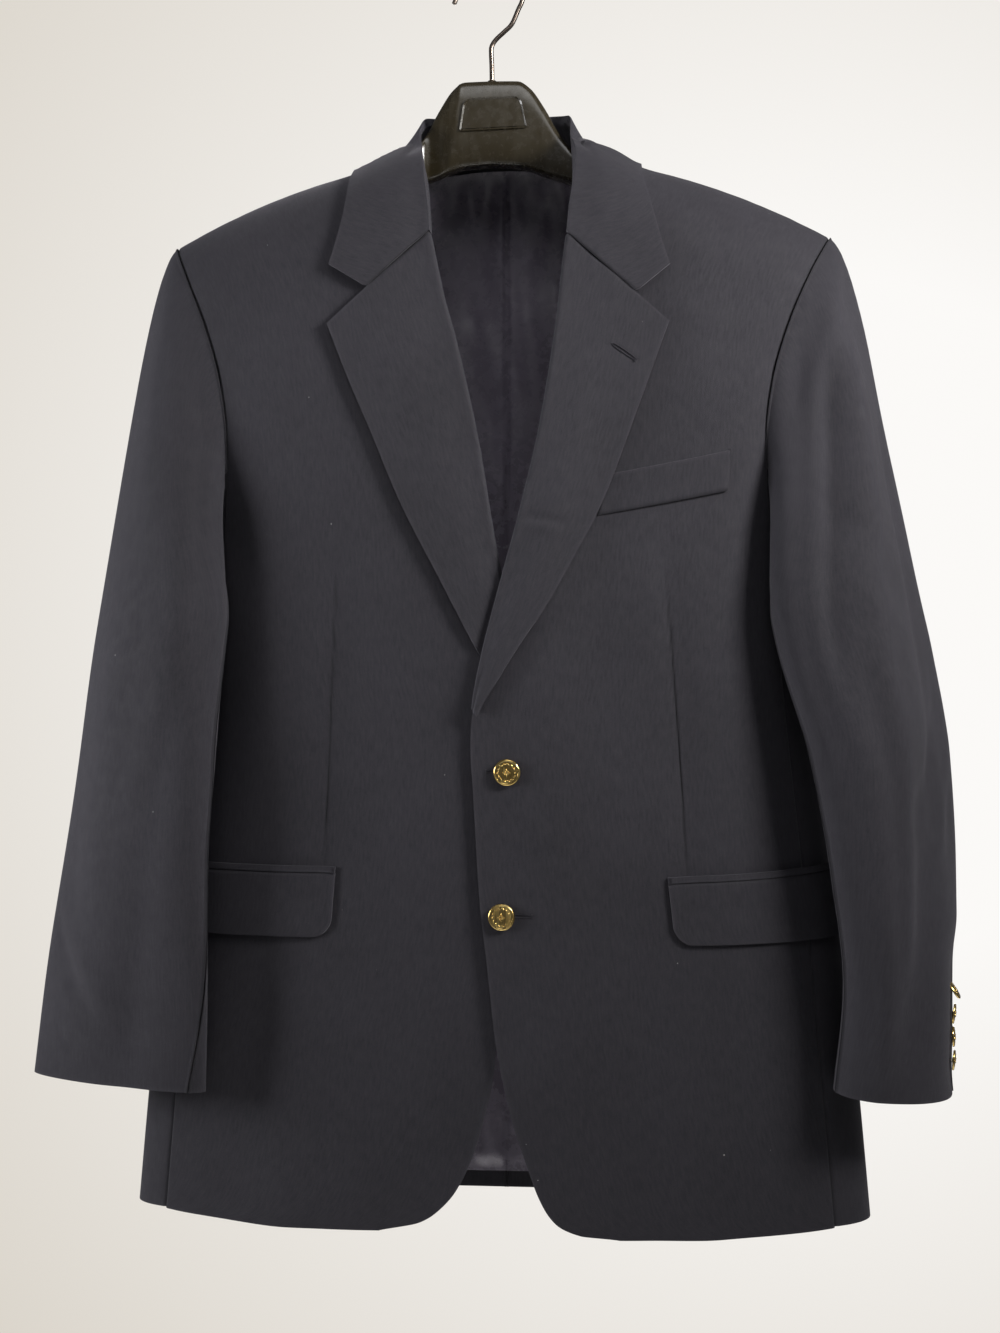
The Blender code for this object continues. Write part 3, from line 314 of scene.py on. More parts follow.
# Soft folds of the fronts: each runs from its top to its foot; a negative depth is a trough.
FRONT_FOLDS = Table(
    "row side x_top z_top x_foot z_foot width depth",
    (
        (1, 1, 0.128, -0.470, 0.142, -0.680, 0.012, -0.0022),
        (2, -1, 0.114, -0.460, 0.122, -0.675, 0.012, -0.0022),
        (3, 1, 0.175, -0.400, 0.182, -0.640, 0.022, 0.0030),
        (4, -1, 0.165, -0.360, 0.172, -0.600, 0.024, 0.0028),
        (5, 1, 0.070, -0.620, 0.090, -0.930, 0.030, 0.0026),
        (6, -1, 0.080, -0.700, 0.105, -0.935, 0.030, 0.0028),
        (7, 1, 0.165, -0.760, 0.185, -0.940, 0.026, -0.0030),
        (8, -1, 0.170, -0.770, 0.200, -0.940, 0.026, -0.0026),
    ),
)
BACK_FOLDS = Table(
    "row side x_top z_top x_foot z_foot width depth",
    (
        (1, 1, 0.120, -0.300, 0.140, -0.620, 0.024, 0.0030),
        (2, -1, 0.115, -0.320, 0.135, -0.660, 0.026, 0.0034),
        (3, 1, 0.060, -0.600, 0.085, -0.935, 0.026, -0.0030),
        (4, -1, 0.070, -0.560, 0.100, -0.935, 0.030, -0.0028),
        (5, 1, 0.165, -0.680, 0.200, -0.935, 0.022, 0.0034),
        (6, -1, 0.160, -0.700, 0.190, -0.935, 0.024, 0.0030),
    ),
)
BODY_LEVELS = (
    -0.220, -0.255, -0.290, -0.330, -0.370, -0.410, -0.450, -0.490, -0.530, -0.570, -0.610,
    -0.650, -0.690, -0.730, -0.770, -0.810, -0.850, -0.880, -0.905, -0.922, -0.934, -0.941, -0.9445,
)
BACK_LEVELS = (
    -0.220, -0.265, -0.315, -0.365, -0.410, -0.455, -0.500,
    -0.545, -0.595, -0.655, -0.725, -0.795, -0.865, -0.939,
)

# Sleeve rings: the two ends seen from the front, how far the cloth bulges before and behind
# them, and by how many degrees the cloth of the armpit swings behind the inner end.
SLEEVE = {
    "left": Table(
        "z inner outer y_inner y_outer front back hem_tilt swing",
        (
            (-0.480, 0.1975, 0.3120, -0.062, 0.000, 0.056, 0.040, 0.000, 40),
            (-0.520, 0.2060, 0.3205, -0.064, -0.002, 0.056, 0.041, 0.000, 30),
            (-0.600, 0.2284, 0.3325, -0.066, -0.004, 0.056, 0.043, 0.000, 6),
            (-0.680, 0.2431, 0.3366, -0.064, -0.006, 0.054, 0.044, 0.000, 0),
            (-0.760, 0.2520, 0.3370, -0.058, -0.010, 0.052, 0.040, 0.000, 0),
            (-0.840, 0.2459, 0.3355, -0.050, -0.012, 0.050, 0.036, -0.004, 0),
        ),
    ),
    "right": Table(
        "z inner outer y_inner y_outer front back hem_tilt swing",
        (
            (-0.480, 0.1940, 0.3010, -0.062, -0.006, 0.054, 0.036, 0.000, 40),
            (-0.520, 0.1970, 0.3075, -0.068, -0.007, 0.052, 0.036, 0.000, 30),
            (-0.600, 0.2018, 0.3190, -0.078, -0.009, 0.045, 0.034, 0.000, 6),
            (-0.680, 0.2050, 0.3312, -0.084, -0.011, 0.036, 0.028, 0.000, 0),
            (-0.760, 0.2050, 0.3435, -0.084, -0.012, 0.026, 0.022, 0.000, 0),
            (-0.840, 0.2080, 0.3540, -0.078, -0.012, 0.020, 0.018, 0.000, 0),
        ),
    ),
}
# Sleeve folds, in degrees round the sleeve from its outer edge towards the front.
SLEEVE_FOLDS = {
    "left": Table(
        "row turn_top z_top turn_foot z_foot width depth",
        (
            (1, 62, -0.250, 118, -0.560, 17, -0.0065),
            (2, 34, -0.235, 60, -0.330, 12, 0.0040),
            (3, 42, -0.330, 66, -0.600, 14, 0.0045),
            (4, 14, -0.360, 30, -0.640, 13, -0.0040),
            (5, 60, -0.610, 84, -0.800, 18, -0.0045),
            (6, 300, -0.330, 280, -0.640, 20, -0.0050),
            (7, 330, -0.540, 320, -0.760, 16, 0.0035),
            (8, 14, -0.740, 10, -0.835, 24, -0.0050),
        ),
    ),
    "right": Table(
        "row turn_top z_top turn_foot z_foot width depth",
        (
            (1, 70, -0.260, 120, -0.520, 16, -0.0045),
            (2, 40, -0.240, 70, -0.420, 16, 0.0030),
            (3, 55, -0.520, 75, -0.780, 18, 0.0030),
            (4, 110, -0.600, 100, -0.820, 14, -0.0028),
            (5, 300, -0.330, 280, -0.620, 20, -0.0045),
        ),
    ),
}
# Where the two sleeve seams lie round the sleeve, from its head (0) to its cuff (1), in degrees.
SLEEVE_SEAMS = {
    "left": Table(
        "down front_seam back_seam",
        ((0.0, 150, 246), (0.46, 153, 287), (0.70, 168, 318), (1.0, 166, 356)),
    ),
    "right": Table(
        "down front_seam back_seam",
        ((0.0, 150, 246), (0.46, 153, 276), (0.70, 174, 290), (0.8, 174, 294), (1.0, 148, 305)),
    ),
}
CUFF_BUTTON_TURN = {"left": 10, "right": -43}
# How far each cuff button's shank stands off the sleeve's smooth form, from the lowest up.
CUFF_BUTTON_SEAT = {
    "left": (0.0012, 0.0005, 0.0004, 0.0008),
    "right": (0.0003, 0.0003, 0.0003, 0.0004),
}
SLEEVE_SEAM_TURN = 1.0
SLEEVE_CLEAR = 0.0043
SLEEVE_JOIN = -0.480
SLEEVE_JOIN_UNDER = -0.505
SLEEVE_HEM = -0.840
CAP_SHARE = 0.46

# The collar from its centre back to its front end: crease, outer edge, and the seam of its stand.
COLLAR = Table(
    "t crease_x crease_y crease_z edge_x edge_y edge_z stand_x stand_y stand_z bulge",
    (
        (0.00, 0.0000, 0.0480, -0.1110, 0.0000, 0.0650, -0.1650, 0.0000, 0.0535, -0.1470, 0.0040),
        (0.22, 0.0330, 0.0420, -0.1105, 0.0480, 0.0600, -0.1640, 0.0380, 0.0470, -0.1465, 0.0035),
        (0.36, 0.0490, 0.0280, -0.1135, 0.0840, 0.0450, -0.1620, 0.0610, 0.0300, -0.1455, -0.0010),
        (0.48, 0.0548, 0.0070, -0.1190, 0.1085, 0.0080, -0.1580, 0.0695, 0.0000, -0.1460, -0.0050),
        (0.60, 0.0565, -0.0130, -0.1330, 0.1105, -0.0280, -0.1690, 0.0675, -0.0220, -0.1520, -0.0030),
        (0.74, 0.0555, -0.0340, -0.1570, 0.1130, -0.0520, -0.1910, 0.0625, -0.0400, -0.1680, 0.0020),
        (0.88, 0.0530, -0.0510, -0.1890, 0.1185, -0.0660, -0.2200, 0.0555, -0.0500, -0.1960, 0.0040),
        (1.00, 0.0503, -0.0600, -0.2180, 0.1232, -0.0680, -0.2425, 0.0520, -0.0600, -0.2195, 0.0040),
    ),
)
STAND_SHARE = 0.26
FOLD_SHARE = 0.38
COLLAR_CLEAR = SHELL_WALL / 2 + COLLAR_WALL / 2 + 0.0001
COLLAR_LIFT = 0.0030
COLLAR_ROLL = 0.0015
COLLAR_POINT = {"left": (0.1281, -0.2440), "right": (0.1185, -0.2405)}
COLLAR_DRAWN_IN = {"left": 0.0025, "right": 0.0066}
COLLAR_SAG = {"left": 0.0085, "right": 0.0040}
COLLAR_BEND = {"left": 1.90, "right": 1.15}
COLLAR_SHIFT = Table("t x", ((0.0, 0.0000), (0.36, -0.0030), (0.60, -0.0022), (0.88, 0.0045), (1.00, 0.0045)))

FLAP = {
    "left": {"inner": 0.1267, "slant": 0.005, "top": -0.6875, "foot": -0.7318, "rise": 0.0075},
    "right": {"inner": 0.1128, "slant": 0.004, "top": -0.6815, "foot": -0.7280, "rise": 0.0015},
}
FLAP_CORNER = 0.014
FLAP_OUTER_TURN = 79.0
JET_HEIGHT = 0.0046
WELT_CORNERS = ((0.0800, -0.3955), (0.1710, -0.3773), (0.1688, -0.4060), (0.0765, -0.4240))

HANGER = Table(
    "x top bottom depth",
    (
        (0.000, -0.0925, -0.1556, 0.0110),
        (0.020, -0.0930, -0.1572, 0.0112),
        (0.029, -0.0985, -0.1596, 0.0115),
        (0.040, -0.1140, -0.1638, 0.0120),
        (0.052, -0.1350, -0.1675, 0.0125),
        (0.064, -0.1490, -0.1715, 0.0135),
        (0.085, -0.1610, -0.1810, 0.0155),
        (0.115, -0.1720, -0.1940, 0.0185),
        (0.145, -0.1815, -0.2050, 0.0210),
        (0.175, -0.1920, -0.2160, 0.0220),
        (0.205, -0.2050, -0.2270, 0.0210),
        (0.222, -0.2150, -0.2300, 0.0150),
    ),
)

# Further soft folds of the shown cloth, beside the ones that the solids have.
FRONT_CREASES = Table(
    "row side x_top z_top x_foot z_foot width depth",
    (
        (1, 1, 0.040, -0.640, 0.062, -0.900, 0.020, 0.0016),
        (2, -1, 0.036, -0.640, 0.050, -0.880, 0.022, 0.0014),
        (3, 1, 0.100, -0.740, 0.118, -0.935, 0.018, -0.0014),
        (4, -1, 0.140, -0.740, 0.150, -0.930, 0.020, 0.0016),
        (5, 1, 0.210, -0.320, 0.190, -0.430, 0.012, -0.0022),
        (6, -1, 0.208, -0.320, 0.188, -0.450, 0.013, -0.0024),
        (7, 1, 0.128, -0.200, 0.150, -0.330, 0.026, 0.0014),
        (8, -1, 0.120, -0.200, 0.150, -0.340, 0.026, 0.0012),
    ),
)
BACK_CREASES = Table(
    "row side x_top z_top x_foot z_foot width depth",
    (
        (1, 1, 0.205, -0.300, 0.150, -0.470, 0.014, -0.0032),
        (2, -1, 0.205, -0.310, 0.145, -0.500, 0.016, -0.0036),
        (3, 1, 0.190, -0.340, 0.165, -0.560, 0.012, 0.0026),
        (4, -1, 0.188, -0.330, 0.160, -0.580, 0.013, 0.0028),
        (5, 1, 0.030, -0.190, 0.045, -0.420, 0.018, 0.0018),
        (6, -1, 0.034, -0.200, 0.040, -0.460, 0.020, 0.0016),
        (7, 1, 0.110, -0.640, 0.128, -0.930, 0.015, 0.0022),
        (8, -1, 0.120, -0.700, 0.142, -0.930, 0.014, 0.0020),
    ),
)
SLEEVE_CREASES = {
    "left": Table(
        "row turn_top z_top turn_foot z_foot width depth",
        (
            (1, 70, -0.420, 44, -0.500, 10, -0.0016),
            (2, 26, -0.560, 70, -0.640, 9, -0.0020),
            (3, 20, -0.600, 62, -0.690, 8, 0.0014),
            (4, 100, -0.560, 112, -0.800, 12, 0.0020),
            (5, 200, -0.340, 210, -0.600, 16, -0.0030),
            (6, 250, -0.420, 240, -0.760, 18, 0.0028),
            (7, 50, -0.300, 92, -0.520, 8, -0.0065),
            (8, 36, -0.310, 74, -0.545, 7, 0.0042),
            (9, 72, -0.550, 86, -0.720, 8, 0.0036),
            (10, 20, -0.400, 50, -0.640, 8, -0.0030),
            (11, 14, -0.228, 54, -0.310, 6, 0.0030),
        ),
    ),
    "right": Table(
        "row turn_top z_top turn_foot z_foot width depth",
        (
            (1, 40, -0.710, 80, -0.770, 9, 0.0016),
            (2, 34, -0.730, 76, -0.795, 8, -0.0018),
            (3, 84, -0.300, 100, -0.620, 13, 0.0016),
            (4, 200, -0.340, 215, -0.600, 18, -0.0030),
            (5, 250, -0.420, 235, -0.740, 18, 0.0026),
        ),
    ),
}
# Short creases, in metres towards the piece's own side: x, z, x, z, width, depth.
LAPEL_CREASES = {
    "left": (
        (0.012, -0.4290, 0.050, -0.4350, 0.0030, 0.0012),
        (0.012, -0.4240, 0.052, -0.4290, 0.0030, -0.0012),
    ),
    "right": ((0.030, -0.330, 0.052, -0.420, 0.0090, 0.0007),),
}
DARTS = {
    "left": ((0.1260, -0.4740, 0.1400, -0.6745, 0.0009, -0.0010),),
    "right": ((0.1125, -0.4640, 0.1213, -0.6720, 0.0009, -0.0010),),
}
LAPEL_BEND = 0.10
COLLAR_SPLIT = 0.66
HANGER_RIB_LEFT = Table("z x", ((-0.166, -0.0390), (-0.103, -0.0300)))
HANGER_RIB_RIGHT = Table("z x", ((-0.144, 0.0570), (-0.116, 0.0365), (-0.098, 0.0250)))


def mix(a: Array | float, b: Array | float, share: Array | float) -> Array:
    """The value this share of the way from a to b."""
    return a + (b - a) * share


def ease(share: Array | float) -> Array:
    """0 to 1 with flat ends, held outside them."""
    share = np.clip(share, 0.0, 1.0)
    return share * share * (3 - 2 * share)


def lump(distance: Array | float, width: float) -> Array:
    """1 at no distance, falling softly to 0 over about two widths."""
    return np.exp(-((distance / width) ** 2))


def uneven(distance: Array, seed: float) -> Array:
    """A wave of uneven length and height along a seam, in metres along it."""
    long, short = np.sin(distance * 207 + seed * 3.1), np.sin(distance * 541 + seed * 5.3)
    return (np.sin(distance * 331 + seed * 1.7) + 0.8 * long + 0.45 * short) / 2.25


def slow(x: Array, z: Array, seed: float) -> Array:
    """The cloth's slow unevenness between its folds, about -1 to 1."""
    a = np.sin(x * 41 + 2.1 * np.sin(z * 13 + seed) + seed)
    b = np.sin(x * 23 - z * 17 + seed * 2.7 + 1.4 * np.sin(x * 19 + z * 11))
    c = np.sin(z * 29 + x * 37 + seed * 4.1)
    return (a + 0.9 * b + 0.5 * c) / 2.4


def stack(x: Array, y: Array, z: Array) -> Array:
    """Three arrays of numbers as one array of points."""
    return np.stack(np.broadcast_arrays(x, y, z), axis=-1)


def unit(vectors: Array) -> Array:
    """The vectors at length 1."""
    return vectors / np.maximum(np.linalg.norm(vectors, axis=-1, keepdims=True), 1e-12)


def dot(a: Array, b: Array) -> Array:
    """The dot products of two arrays of vectors."""
    return (a * b).sum(axis=-1)


def shoulder_fade(x: Array, z: Array) -> Array:
    """How far the body has opened below the shoulder line: 0 on it, 1 a rounding below it."""
    drop = np.clip((SHOULDER.read("z", np.abs(x)) - z) / SHOULDER_ROUND, 0.0, 1.0)
    return np.sqrt(1 - (1 - drop) ** 2)


def fold_height(folds: Table, x: Array, z: Array) -> Array:
    """The sum of the soft folds that pass near points of the front or the back."""
    total = np.zeros(np.broadcast(x, z).shape)
    for _, side, x_top, z_top, x_foot, z_foot, width, depth in folds.values:
        share = (z - z_top) / (z_foot - z_top)
        fade = ease((share + 0.35) / 0.5) * ease((1.35 - share) / 0.5)
        soft = depth * fade * lump(x * side - mix(x_top, x_foot, share), width)
        total += np.where(x * side > 0, soft, 0.0)
    return total


def crease_height(creases: tuple[tuple[float, ...], ...], x: Array, z: Array) -> Array:
    """The sum of short straight creases, each (x, z, x, z, width, depth), in metres."""
    total = np.zeros(np.broadcast(x, z).shape)
    for x_top, z_top, x_foot, z_foot, width, depth in creases:
        across, down = x_foot - x_top, z_foot - z_top
        length = math.hypot(across, down)
        share = ((x - x_top) * across + (z - z_top) * down) / length**2
        off = ((x - x_top) * down - (z - z_top) * across) / length
        fade = ease((share + 0.12) / 0.3) * ease((1.12 - share) / 0.3)
        total += depth * fade * lump(off, width)
    return total


def torso(turn: Array, z: Array) -> Array:
    """Points of the body's cloth: turn is 0 at the centre front and pi at the centre back."""
    half = TORSO.read("half_width", z)
    facing = np.cos(turn) * (1 + SQUARENESS * np.sin(turn) ** 2)
    x = half * np.sin(turn)
    ahead = facing > 0
    depth = np.where(ahead, TORSO.read("front_depth", z), TORSO.read("back_depth", z))
    before = fold_height(FRONT_FOLDS, x, z) + fold_height(FRONT_CREASES, x, z)
    behind = fold_height(BACK_FOLDS, x, z) + fold_height(BACK_CREASES, x, z)
    fold = np.where(ahead, before + 0.0005 * slow(x, z, 1.0), behind + 0.0009 * slow(x, z, 2.0))
    y = -(depth + fold * np.minimum(1.0, np.abs(facing) * 1.6)) * facing
    return stack(x, y * shoulder_fade(x, z), z)


def torso_normal(turn: Array, z: Array) -> Array:
    """The outward normals of the body's cloth, from two short steps along it."""
    step = 0.002
    across = torso(turn + step, z) - torso(turn - step, z)
    down = torso(turn, z - step) - torso(turn, z + step)
    return unit(np.cross(down, across))


def torso_off(turn: Array, z: Array, lift: Array | float) -> Array:
    """Points this far outside the body's cloth."""
    return torso(turn, z) + torso_normal(turn, z) * np.asarray(lift)[..., None]


def seam_turn(turn: Array, z: Array) -> Array:
    """The turn that a piece leaves free at a seam."""
    span = 0.02
    step = torso(turn + span / 2, z) - torso(turn - span / 2, z)
    return SEAM_SIDE * span / np.linalg.norm(step, axis=-1)


def turn_of(x: Array | float, z: Array | float) -> Array:
    """The front turn at which the body reaches this x."""
    return np.arcsin(np.clip(x / TORSO.read("half_width", z), -0.9995, 0.9995))


def overlap_lift(x: Array) -> Array:
    """How far the wearer's left front stands off where it laps over the right front."""
    return OVERLAP_LIFT * ease((OVERLAP_END - x) / (OVERLAP_END - OVERLAP_FULL))


def front_off(side: str, x: Array | float, z: Array | float, lift: Array | float) -> Array:
    """Points this far outside one front, at this distance towards its own side."""
    sign = SIDES[side]
    x, z = np.asarray(x, float), np.asarray(z, float)
    extra = overlap_lift(x) if side == "left" else 0.0
    return torso_off(turn_of(sign * x, z), z, lift + extra)


def panel_height(v: Array, levels: tuple[float, ...], top: Array, start: Array, hem: Array | float) -> Array:
    """The heights of a panel's rows: first round the shoulder, then down the levels to the hem.

    Args:
        v: share down the panel.
        levels: heights that say how close the rows stand.
        top: the shoulder line above each point.
        start: where the panel starts, at the shoulder line or below it.
        hem: where it ends.

    Returns:
        One height for each point.
    """
    rows = ROUND_ROWS + len(levels) - 1
    row = v * rows
    level = np.interp(row - ROUND_ROWS, np.arange(len(levels)), levels)
    share = (level - levels[0]) / (levels[-1] - levels[0])
    below = mix(top - SHOULDER_ROUND, hem, share)
    begin = np.arccos(1 - np.clip((top - start) / SHOULDER_ROUND, 0.0, 1.0))
    turned = mix(np.maximum(begin, SHOULDER_SEAM_TURN), math.pi / 2, np.clip(row / ROUND_ROWS, 0, 1))
    return np.where(row >= ROUND_ROWS, below, top - SHOULDER_ROUND * (1 - np.cos(turned)))


def roll_inset(side: str, z: Array) -> Array:
    """How far a front's edge draws back behind the roll of its lapel."""
    top, foot = LAPEL_SPAN[side]["roll"]
    return LAPEL_ROLL * ease((top + 0.004 - z) / 0.012) * ease((z - foot) / 0.05)


def front_surface(side: str, u: Array, v: Array) -> Array:
    """One front, from the shoulder seam to the hem: u runs from its inner edge to its side seam."""
    sign = SIDES[side]

    def turns(z: Array) -> tuple[Array, Array]:
        """The turns of the two long edges at a height."""
        inner = turn_of(FRONT_INNER[side].read("x", z) + roll_inset(side, z), z)
        return inner, turn_of(FRONT_OUTER.read("x", z), z)

    def turn_at(z: Array) -> Array:
        """The turn at u at a height."""
        inner, outer = turns(z)
        return mix(inner, outer - seam_turn(outer, z), u)

    top = np.full(u.shape, -0.18)
    for _ in range(12):
        x = TORSO.read("half_width", top) * np.sin(turn_at(top))
        top = SHOULDER.read("z", np.abs(x))
    hem = HEM_FRONT[side].read("z", np.abs(x))
    inner, outer = turns(hem)
    hem = HEM_FRONT[side].read("z", TORSO.read("half_width", hem) * np.sin(mix(inner, outer, u)))
    z = panel_height(v, BODY_LEVELS, top, top, hem)
    turn = turn_at(z)
    x = TORSO.read("half_width", z) * np.sin(turn)
    lift = overlap_lift(x) if side == "left" else np.zeros(u.shape)
    return torso_off(sign * turn, z, lift)


def back_surface(side: str, u: Array, v: Array) -> Array:
    """Half the back, from its neckline and shoulder seam to the hem, u from the centre seam."""
    sign = SIDES[side]

    def turn_at(z: Array) -> Array:
        """The turn at u at a height."""
        outer = math.pi - turn_of(BACK_OUTER.read("x", z), z)
        centre = np.full(u.shape, math.pi)
        return mix(centre - seam_turn(centre, z), outer + seam_turn(outer, z), u)

    top = np.full(u.shape, -0.18)
    for _ in range(12):
        x = TORSO.read("half_width", top) * np.sin(turn_at(top))
        top = SHOULDER.read("z", x)
    neck = mix(BACK_NECK_HEIGHT, SHOULDER.read("z", NECK_HALF), (x / NECK_HALF) ** 2)
    start = np.where(x < NECK_HALF, neck, top)
    z = panel_height(v, BACK_LEVELS, top, np.minimum(start, top), HEM_BACK)
    return torso(sign * turn_at(z), z)


def side_surface(side: str, u: Array, v: Array) -> Array:
    """One side panel, from the foot of the armhole to the hem, u from front to back."""
    top = mix(ARMPIT_HEIGHT, ARMHOLE_FOOT, np.abs(2 * u - 1) ** 2.2)
    z = mix(top, mix(HEM_FRONT[side].read("z", 0.26), HEM_BACK, u), v)
    front = turn_of(FRONT_OUTER.read("x", z), z)
    back = math.pi - turn_of(BACK_OUTER.read("x", z), z)
    turn = mix(front + seam_turn(front, z), back - seam_turn(back, z), u)
    return torso(SIDES[side] * turn, z)


def armhole_runs(side: str) -> list[Array]:
    """Points round the armhole as two runs, before and behind, each from shoulder to armpit."""
    runs = []
    for panel, half in ((front_surface, (0.0, 0.5)), (back_surface, (1.0, 0.5))):
        rim = panel(side, np.ones(60), np.arange(60) / 80)
        low = np.argmax(rim[:, 2] < ARMHOLE_FOOT)
        under = side_surface(side, mix(half[0], half[1], np.arange(1, 25) / 24), np.zeros(24))
        runs.append(np.vstack([rim[:low], under]))
    return runs


def along(points: Array, share: Array) -> Array:
    """The points at these shares of a line's length."""
    steps = np.linalg.norm(np.diff(points, axis=0), axis=1)
    lengths = np.concatenate([[0.0], np.cumsum(steps)])
    wanted = np.clip(share, 0.0, 1.0) * lengths[-1]
    return stack(*(np.interp(wanted, lengths, points[:, k]) for k in range(3)))


def beside_body(points: Array, clear: float) -> Array:
    """The points moved straight out until they stand this far off the body, below the armhole."""
    x, y, z = points[..., 0], points[..., 1], points[..., 2]
    low, high = np.zeros(z.shape), np.full(z.shape, math.pi)
    bearing = np.arctan2(np.abs(x), -y)
    for _ in range(14):
        turn = (low + high) / 2
        surface = torso(turn, z)
        short = np.arctan2(surface[..., 0], -surface[..., 1]) < bearing
        low, high = np.where(short, turn, low), np.where(short, high, turn)
    surface = torso(low, z)
    wanted = np.hypot(surface[..., 0], surface[..., 1]) + clear
    grow = np.maximum(wanted / np.maximum(np.hypot(x, y), 1e-6), 1.0)
    grow = np.where(z > ARMHOLE_FOOT + 0.012, 1.0, grow)
    return stack(x * grow, y * grow, z)


class SleeveForm:
    """One sleeve's form: a head from the armhole to its first ring, then rings to the cuff."""

    def __init__(self, side: str) -> None:
        """Reads the side's own tables and armhole."""
        self.side = side
        self.sign = SIDES[side]
        self.rings = SLEEVE[side]
        self.seams = SLEEVE_SEAMS[side]
        self.runs = armhole_runs(side)

    def armhole(self, turn: Array) -> Array:
        """The armhole points for turns in degrees: 0 at the shoulder, 180 at the armpit."""
        turn = turn % 360
        before, behind = along(self.runs[0], turn / 180), along(self.runs[1], (360 - turn) / 180)
        return np.where((turn <= 180)[..., None], before, behind)

    def ring(self, turn: Array, z: Array) -> Array:
        """Points on the rings at these heights."""
        read = self.rings.read
        angle = np.radians(turn + read("swing", z) * (1 - np.cos(np.radians(turn))) / 2)
        inner, outer = read("inner", z), read("outer", z)
        reach, bulge = np.cos(angle), np.sin(angle)
        y = mix(read("y_inner", z), read("y_outer", z), (reach + 1) / 2)
        y = y - bulge * np.where(bulge > 0, read("front", z), read("back", z))
        x = (inner + outer) / 2 + (outer - inner) / 2 * reach
        return stack(self.sign * x, y, z + read("hem_tilt", z) * reach)

    def fold(self, turn: Array, z: Array) -> Array:
        """The height of the sleeve's folds."""
        total = np.zeros(turn.shape)
        for folds in (SLEEVE_FOLDS[self.side], SLEEVE_CREASES[self.side]):
            for _, turn_top, z_top, turn_foot, z_foot, width, depth in folds.values:
                share = (z - z_top) / (z_foot - z_top)
                off = (turn - mix(turn_top, turn_foot, share) + 180) % 360 - 180
                fade = ease((share + 0.3) / 0.45) * ease((1.3 - share) / 0.45)
                total += depth * fade * lump(off, width)
        around = np.radians(turn)
        loose = slow(0.06 * np.cos(around), z + 0.05 * np.sin(around), 3.0 + self.sign)
        return total + 0.0009 * loose

    def join(self, turn: Array) -> Array:
        """The height where the sleeve's head meets its rings: lower under the arm."""
        return mix(SLEEVE_JOIN, SLEEVE_JOIN_UNDER, (1 - np.cos(np.radians(turn))) / 2)

    def bare(self, turn: Array, down: Array) -> Array:
        """Points of the unfolded sleeve: down is 0 at the armhole and 1 at the cuff."""
        join = self.join(turn)
        lower = self.ring(turn, mix(join, SLEEVE_HEM, np.maximum(down - CAP_SHARE, 0) / (1 - CAP_SHARE)))
        start, end = self.armhole(turn), self.ring(turn, join)
        below = self.ring(turn, join - 0.01)
        t = (np.minimum(down, CAP_SHARE) / CAP_SHARE)[..., None]
        cosine, sine = np.cos(np.radians(turn)), np.sin(np.radians(turn))
        length = np.linalg.norm(end - start, axis=-1)
        out = self.sign * (1.15 * (1 + cosine) / 2 + 0.02)
        ahead = np.where(sine > 0, -0.30 * sine, -0.10 * sine)
        leave = unit(stack(out, ahead, -0.40 - 0.75 * (1 - cosine) / 2))
        leave = leave * (length * mix(0.22, 0.9, (1 - cosine) / 2))[..., None]
        arrive = unit(below - end) * length[..., None]
        head = start * (2 * t**3 - 3 * t**2 + 1) + leave * (t**3 - 2 * t**2 + t)
        head = head + end * (-2 * t**3 + 3 * t**2) + arrive * (t**3 - t**2)
        return np.where((down >= CAP_SHARE)[..., None], lower, head)

    def point(self, turn: Array, down: Array) -> Array:
        """Points of the draped sleeve, clear of the armhole seam."""
        drop = np.linalg.norm(self.ring(turn, self.join(turn)) - self.armhole(turn), axis=-1)
        clear = ARMHOLE_GAP * CAP_SHARE / drop
        down = mix(clear, 1.0, down)
        step = 0.4
        around = self.bare(turn + step, down) - self.bare(turn - step, down)
        fall = self.bare(turn, np.minimum(down + 0.004, 1.0)) - self.bare(turn, down - 0.004)
        normal = unit(np.cross(around, fall)) * self.sign
        middle = self.bare(turn, down)
        height = self.fold(turn, middle[..., 2]) * ease((down - clear) / 0.12)
        return beside_body(middle + normal * height[..., None], SLEEVE_CLEAR)

    def across(self, start: Array, middle: float, end: Array, u: Array, v: Array) -> Array:
        """The turns at u, with the piece's middle held at its own turn near the armhole."""
        held = np.where(u < 0.5, mix(start, middle, u * 2), mix(middle, end, u * 2 - 1))
        return mix(held, mix(start, end, u), ease(v / 0.3))

    def top(self, u: Array, v: Array) -> Array:
        """The top sleeve, from the back seam over the outside to the front seam."""
        front, back = self.seams.read("front_seam", v), self.seams.read("back_seam", v)
        turn = self.across(back - 360 + SLEEVE_SEAM_TURN, 0, front - SLEEVE_SEAM_TURN, u, v)
        return self.point(turn, v)

    def under(self, u: Array, v: Array) -> Array:
        """The under sleeve, from the front seam past the body to the back seam."""
        front, back = self.seams.read("front_seam", v), self.seams.read("back_seam", v)
        turn = self.across(front + SLEEVE_SEAM_TURN, 180, back - SLEEVE_SEAM_TURN, u, v)
        return self.point(turn, v)


